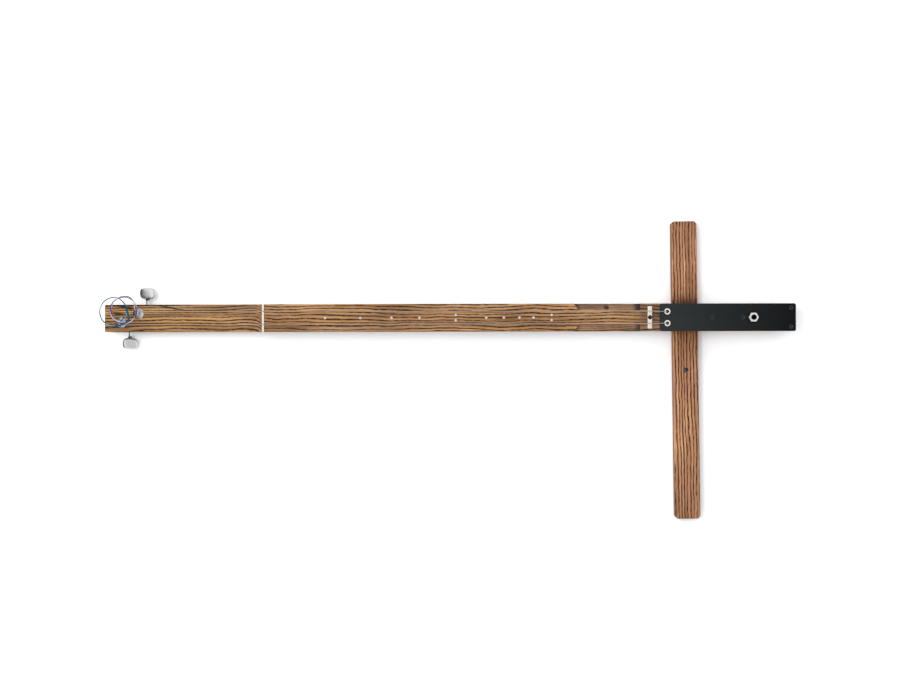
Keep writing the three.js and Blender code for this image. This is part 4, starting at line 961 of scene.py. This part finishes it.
def button_mesh(name, place, side, turn):
    outline = button_outline(BUTTON_WIDTH / 2, BUTTON_LENGTH)
    centre = Vector((0, BUTTON_LENGTH * 0.5, 0))
    matrix = Matrix.Translation(place) @ Matrix.Scale(side, 4, (0, 1, 0)) @ Matrix.Rotation(turn, 4, "Y")
    bm = bmesh.new()
    for half in (BUTTON_THICKNESS / 2, -BUTTON_THICKNESS / 2):
        rings = []
        for share, height in BUTTON_LOFT:
            ring = []
            for x, y in outline if share else outline[:1]:
                flat = centre + (Vector((x, y, 0)) - centre) * share
                flat.z = height * half
                ring.append(bm.verts.new(matrix @ (flat * MM)))
            rings.append(ring)
        for first, second in zip(rings, rings[1:]):
            skin(bm, first, second)
    return finish_mesh(bm, name, 60)


for i, side in SIDES.items():
    collar = middle(f"tuner_{i}_collar")
    near, far = [corner.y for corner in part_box(f"tuner_{i}_collar")][::side]
    button_place = Vector((collar.x, far + side * 0.2 * MM, collar.z))
    screw_place = Vector((collar.x, button_place.y + side * 16.6 * MM, collar.z))
    dress(f"button_{i}", button_mesh(f"button_{i}", button_place, side, math.radians(BUTTON_TURNS[i])),
          f"tuner_{i}_button")
    turned(f"collar_{i}", f"tuner_{i}_collar", [
        [2.15, 0], [3.0, 0], [3.2, 0.2], [3.25, 0.5], [3.25, 1.5], [3.1, 1.85], [2.8, 2.0], [2.15, 2.0]],
        Vector((collar.x, near, collar.z)), axis=(0, side, 0))
    turned(f"button_screw_{i}", f"tuner_{i}_button_screw", [
        [0, -7.6], [0.6, -7.6], [0.95, -7.1], [0.95, 0.15], [2.3, 0.15], [2.4, 0.3], [2.5, 1.0], [2.3, 1.3],
        [1.8, 1.5], [hexagon(1.5), 1.5], [hexagon(1.4), 1.4], [hexagon(1.4), 0.8], [0, 0.7]], screw_place,
        axis=(0, side, 0), sides=48, smooth_angle=25)
    turned(f"mount_screw_{i}", f"tuner_{i}_mount_screw", [
        [0, 0.0], [1.0, 0.02], [1.7, 0.12], [2.3, 0.5], [2.55, 0.95], [2.6, 1.4], [2.55, 1.6], [1.25, 1.6], [1.25, 5]]
        + thread(0.85, 0.4, 5.3, 0.42, 12) + [[0.5, 12.0], [0, 12.2]], sides=40, smooth_angle=25)
print("buttons made")

# %% [markdown]
# Strings
# Each string runs from its ball under the plate, over the bridge and nut, and takes its turns round a post. The route
# repeats the frame's own points, so that the fine tube lies where the coarse one does.
# %% String routes
WRAP_RADIUS = 3.35 * MM
WRAP_PITCH = 1.5 * MM
WRAP_TURNS = 2
WRAP_STEPS = 24
STRING_RADIUS = 0.5 * MM
SPREAD_AT_BRIDGE = 10 * MM
SPREAD_AT_NUT = 10.5 * MM
STRAIGHT_STRETCHES = 11
LONGEST_PIECE = 20 * MM
bridge_low, bridge_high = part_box("bridge")


def string_points(i):
    """Up through the ferrule, over the crest of the bridge and over the nut, and round the post."""
    side = SIDES[i]
    ferrule = middle(f"top_ferrule_{i}")
    post = middle(f"tuner_{i}_washer")
    crest, lift = bridge_low.x + 1.4 * MM, bridge_high.z + 0.8 * MM
    nut_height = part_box("nut")[1].z - 0.1 * MM
    bridge_y, nut_y = centre_y + side * SPREAD_AT_BRIDGE, centre_y + side * SPREAD_AT_NUT
    route = [(ferrule.x - back * MM, ferrule.y, height) for back, height in (
        (0, stick_base + 5.4 * MM), (0, stick_base + 12 * MM), (0, stick_top - 2 * MM), (0, plate_top + 0.6 * MM),
        (0.4, plate_top + 1.7 * MM), (1.4, plate_top + 2.4 * MM), (3.2, plate_top + 2.8 * MM))]
    route += [(crest + 0.8 * MM, bridge_y, lift - 0.1 * MM), (crest - 0.8 * MM, bridge_y, lift),
              (nut_x + 1 * MM, nut_y, nut_height), (nut_x - 1 * MM, nut_y, nut_height - 0.1 * MM)]
    first_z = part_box(f"tuner_{i}_bushing")[1].z + 1.9 * MM
    route.append((post.x + 14 * MM, post.y + side * WRAP_RADIUS, first_z + 0.5 * MM))
    for k in range(WRAP_TURNS * WRAP_STEPS + 1):
        angle = side * (math.pi / 2 + 2 * math.pi * k / WRAP_STEPS)
        route.append((post.x + WRAP_RADIUS * math.cos(angle), post.y + WRAP_RADIUS * math.sin(angle),
                      first_z + WRAP_PITCH * k / WRAP_STEPS))
    return [Vector(place) for place in route]


def fine_line(points):
    """Splits the straight stretches, so that the winding's pattern has even steps, and halves those of the turns."""
    dense = []
    for k, (first, second) in enumerate(zip(points, points[1:])):
        pieces = max(1, int((second - first).length / LONGEST_PIECE)) if k < STRAIGHT_STRETCHES else 2
        dense += [first.lerp(second, step / pieces) for step in range(pieces)]
    return dense + [points[-1]]


for i in SIDES:
    line = fine_line(string_points(i))
    dress(f"playing_string_{i}", tube(f"playing_string_{i}", line, lambda _: STRING_RADIUS), f"string_{i}")
    print("string", i, "has", len(line), "points")

# %% [markdown]
# The free tails
# Past its post each string ends in a springy length of silk-covered wire, coiled into loose rings over the head.
# They are free cords, and each one's real length is printed. The points repeat the frame's route in metres, from
# the head's end of the stick and its centre line. The low tail's silk is a little fuller, and its end is swollen.
# %% Tails
LOW_RING = {"centre": (0.0191, 0.0105), "radii": (0.02315, 0.02315), "turn": (80, 300), "z": 0.0516, "climb": 0.0026,
            "shrink": 0}
HIGH_RING = {"centre": (0.0358, 0.0129), "radii": (0.0222, 0.0226), "turn": (66, 655), "z": 0.0574, "climb": 0.0038,
             "shrink": 0.0028}
LOW_APPROACH = [(0.0376, 0.0032, 0.051), (0.0398, 0.0115, 0.0513), (0.036, 0.0226, 0.0515)]
LOW_END = [(0.036, -0.0086, 0.0542), (0.0422, -0.0032, 0.0544), (0.0413, 0.0075, 0.0546), (0.0377, 0.0168, 0.0548)]
HIGH_APPROACH = [(0.052, 0.0247, 0.0573)]
RING_STEP = 30
TAIL_RADIUS = 0.75 * MM
SILK_FUZZ = 0.15 * MM
SWELL = 0.9 * MM
SWELL_POINTS = 27
SWELL_RAMP = 9


def laid(places):
    return [Vector(place) + Vector((stick_low.x, centre_y, 0)) for place in places]


def ring_places(ring):
    first, last = ring["turn"]
    places = []
    for degrees in range(first, last + 1, RING_STEP):
        share = (degrees - first) / (last - first)
        angle = math.radians(degrees)
        radius_x, radius_y = (radius - ring["shrink"] * share for radius in ring["radii"])
        places.append((ring["centre"][0] + radius_x * math.cos(angle), ring["centre"][1] + radius_y * math.sin(angle),
                       ring["z"] + share * ring["climb"]))
    return places


def leaving_post(i, places):
    """Points on the way out of a post's cross hole, each at a reach from the post and a rise above the hole."""
    hole = middle(f"tuner_{i}_washer", stick_base + POST_HOLE_HEIGHT)
    way = math.radians(TAIL_WAYS[i])
    return [hole + Vector((reach * math.cos(way), reach * math.sin(way), rise)) * MM for reach, rise in places]


high_tail = leaving_post(1, [(-2, 0), (0, 0), (2.5, 0), (4.6, 0.9), (5.6, 4), (6.4, 8), (8.4, 10.7)])
high_tail += laid(HIGH_APPROACH + ring_places(HIGH_RING))
low_tail = leaving_post(2, [(-2, 0), (0, 0), (2.5, 0), (5, 0.4), (9, 2.6)])
low_tail += laid(LOW_APPROACH + ring_places(LOW_RING) + LOW_END)


def path_length(points):
    return sum((second - first).length for first, second in zip(points, points[1:]))


for i, route, swell, fuzz in ((1, high_tail, 0.0, 0.0), (2, low_tail, SWELL, SILK_FUZZ)):
    line = smooth_path(route, 6)

    def thickness(k):
        share = min(max((k - len(line) + SWELL_POINTS) / SWELL_RAMP, 0), 1)
        return TAIL_RADIUS + fuzz + (swell - fuzz) * share * share * (3 - 2 * share)
    tail = dress(f"silk_tail_{i}", tube(f"silk_tail_{i}", line, thickness, sides=16), f"string_{i}_tail")
    path_length(line)
    print("tail", i, "is", round(path_length(line), 4), "m long")

# %% [markdown]
# The pieces whose CAD form is already right
# A CAD mesh has flat facets and knife edges. Each of these keeps its form, but its flat facets are joined, its edges
# are rounded by the width given here, and its curves are shaded smooth.
# %% Rounded edges
END_RADIUS = 2.2 * MM
EDGE_WIDTHS = {
    "stick": 0, "leg_rest": 0.4, "nut": 0.22, "bridge": 0.25, "cover_plate": 0.12, "piezo_pickup": 0.15,
    "pickup_lead": 0, "tuner_1_housing": 0.35, "tuner_2_housing": 0.35, "tuner_1_wheel": 0, "tuner_2_wheel": 0,
    "tuner_1_worm_shaft": 0, "tuner_2_worm_shaft": 0,
}


def at_end_corner(edge):
    """Whether an edge stands upright at one of the two outer corners of the jack's end."""
    first, second = (corner.co for corner in edge.verts)
    return (min(first.x, second.x) > stick_high.x - 0.05 * MM and abs((first - second).normalized().z) > 0.99
            and abs(first.y - centre_y) > 0.45 * (stick_high.y - stick_low.y))


def softened(node, width):
    bm = bmesh.new()
    bm.from_mesh(bpy.data.objects[node].data)
    bmesh.ops.remove_doubles(bm, verts=bm.verts, dist=1e-6)
    bmesh.ops.dissolve_limit(bm, angle_limit=math.radians(0.6), verts=bm.verts, edges=bm.edges)
    if node in ("stick", "cover_plate"):
        corners = [edge for edge in bm.edges if at_end_corner(edge)]
        bmesh.ops.bevel(bm, geom=corners, offset=END_RADIUS, segments=5, profile=0.5, affect="EDGES")
    if width:
        sharp = [edge for edge in bm.edges if edge.is_manifold and edge.calc_face_angle() > math.radians(28)]
        bmesh.ops.bevel(bm, geom=sharp, offset=width * MM, segments=2, profile=0.5, affect="EDGES",
                        clamp_overlap=True)
    return finish_mesh(bm, node + "_form", 31)


for node_name, width in EDGE_WIDTHS.items():
    dress(node_name + "_form", softened(node_name, width), node_name)
print("softened:", len(EDGE_WIDTHS))
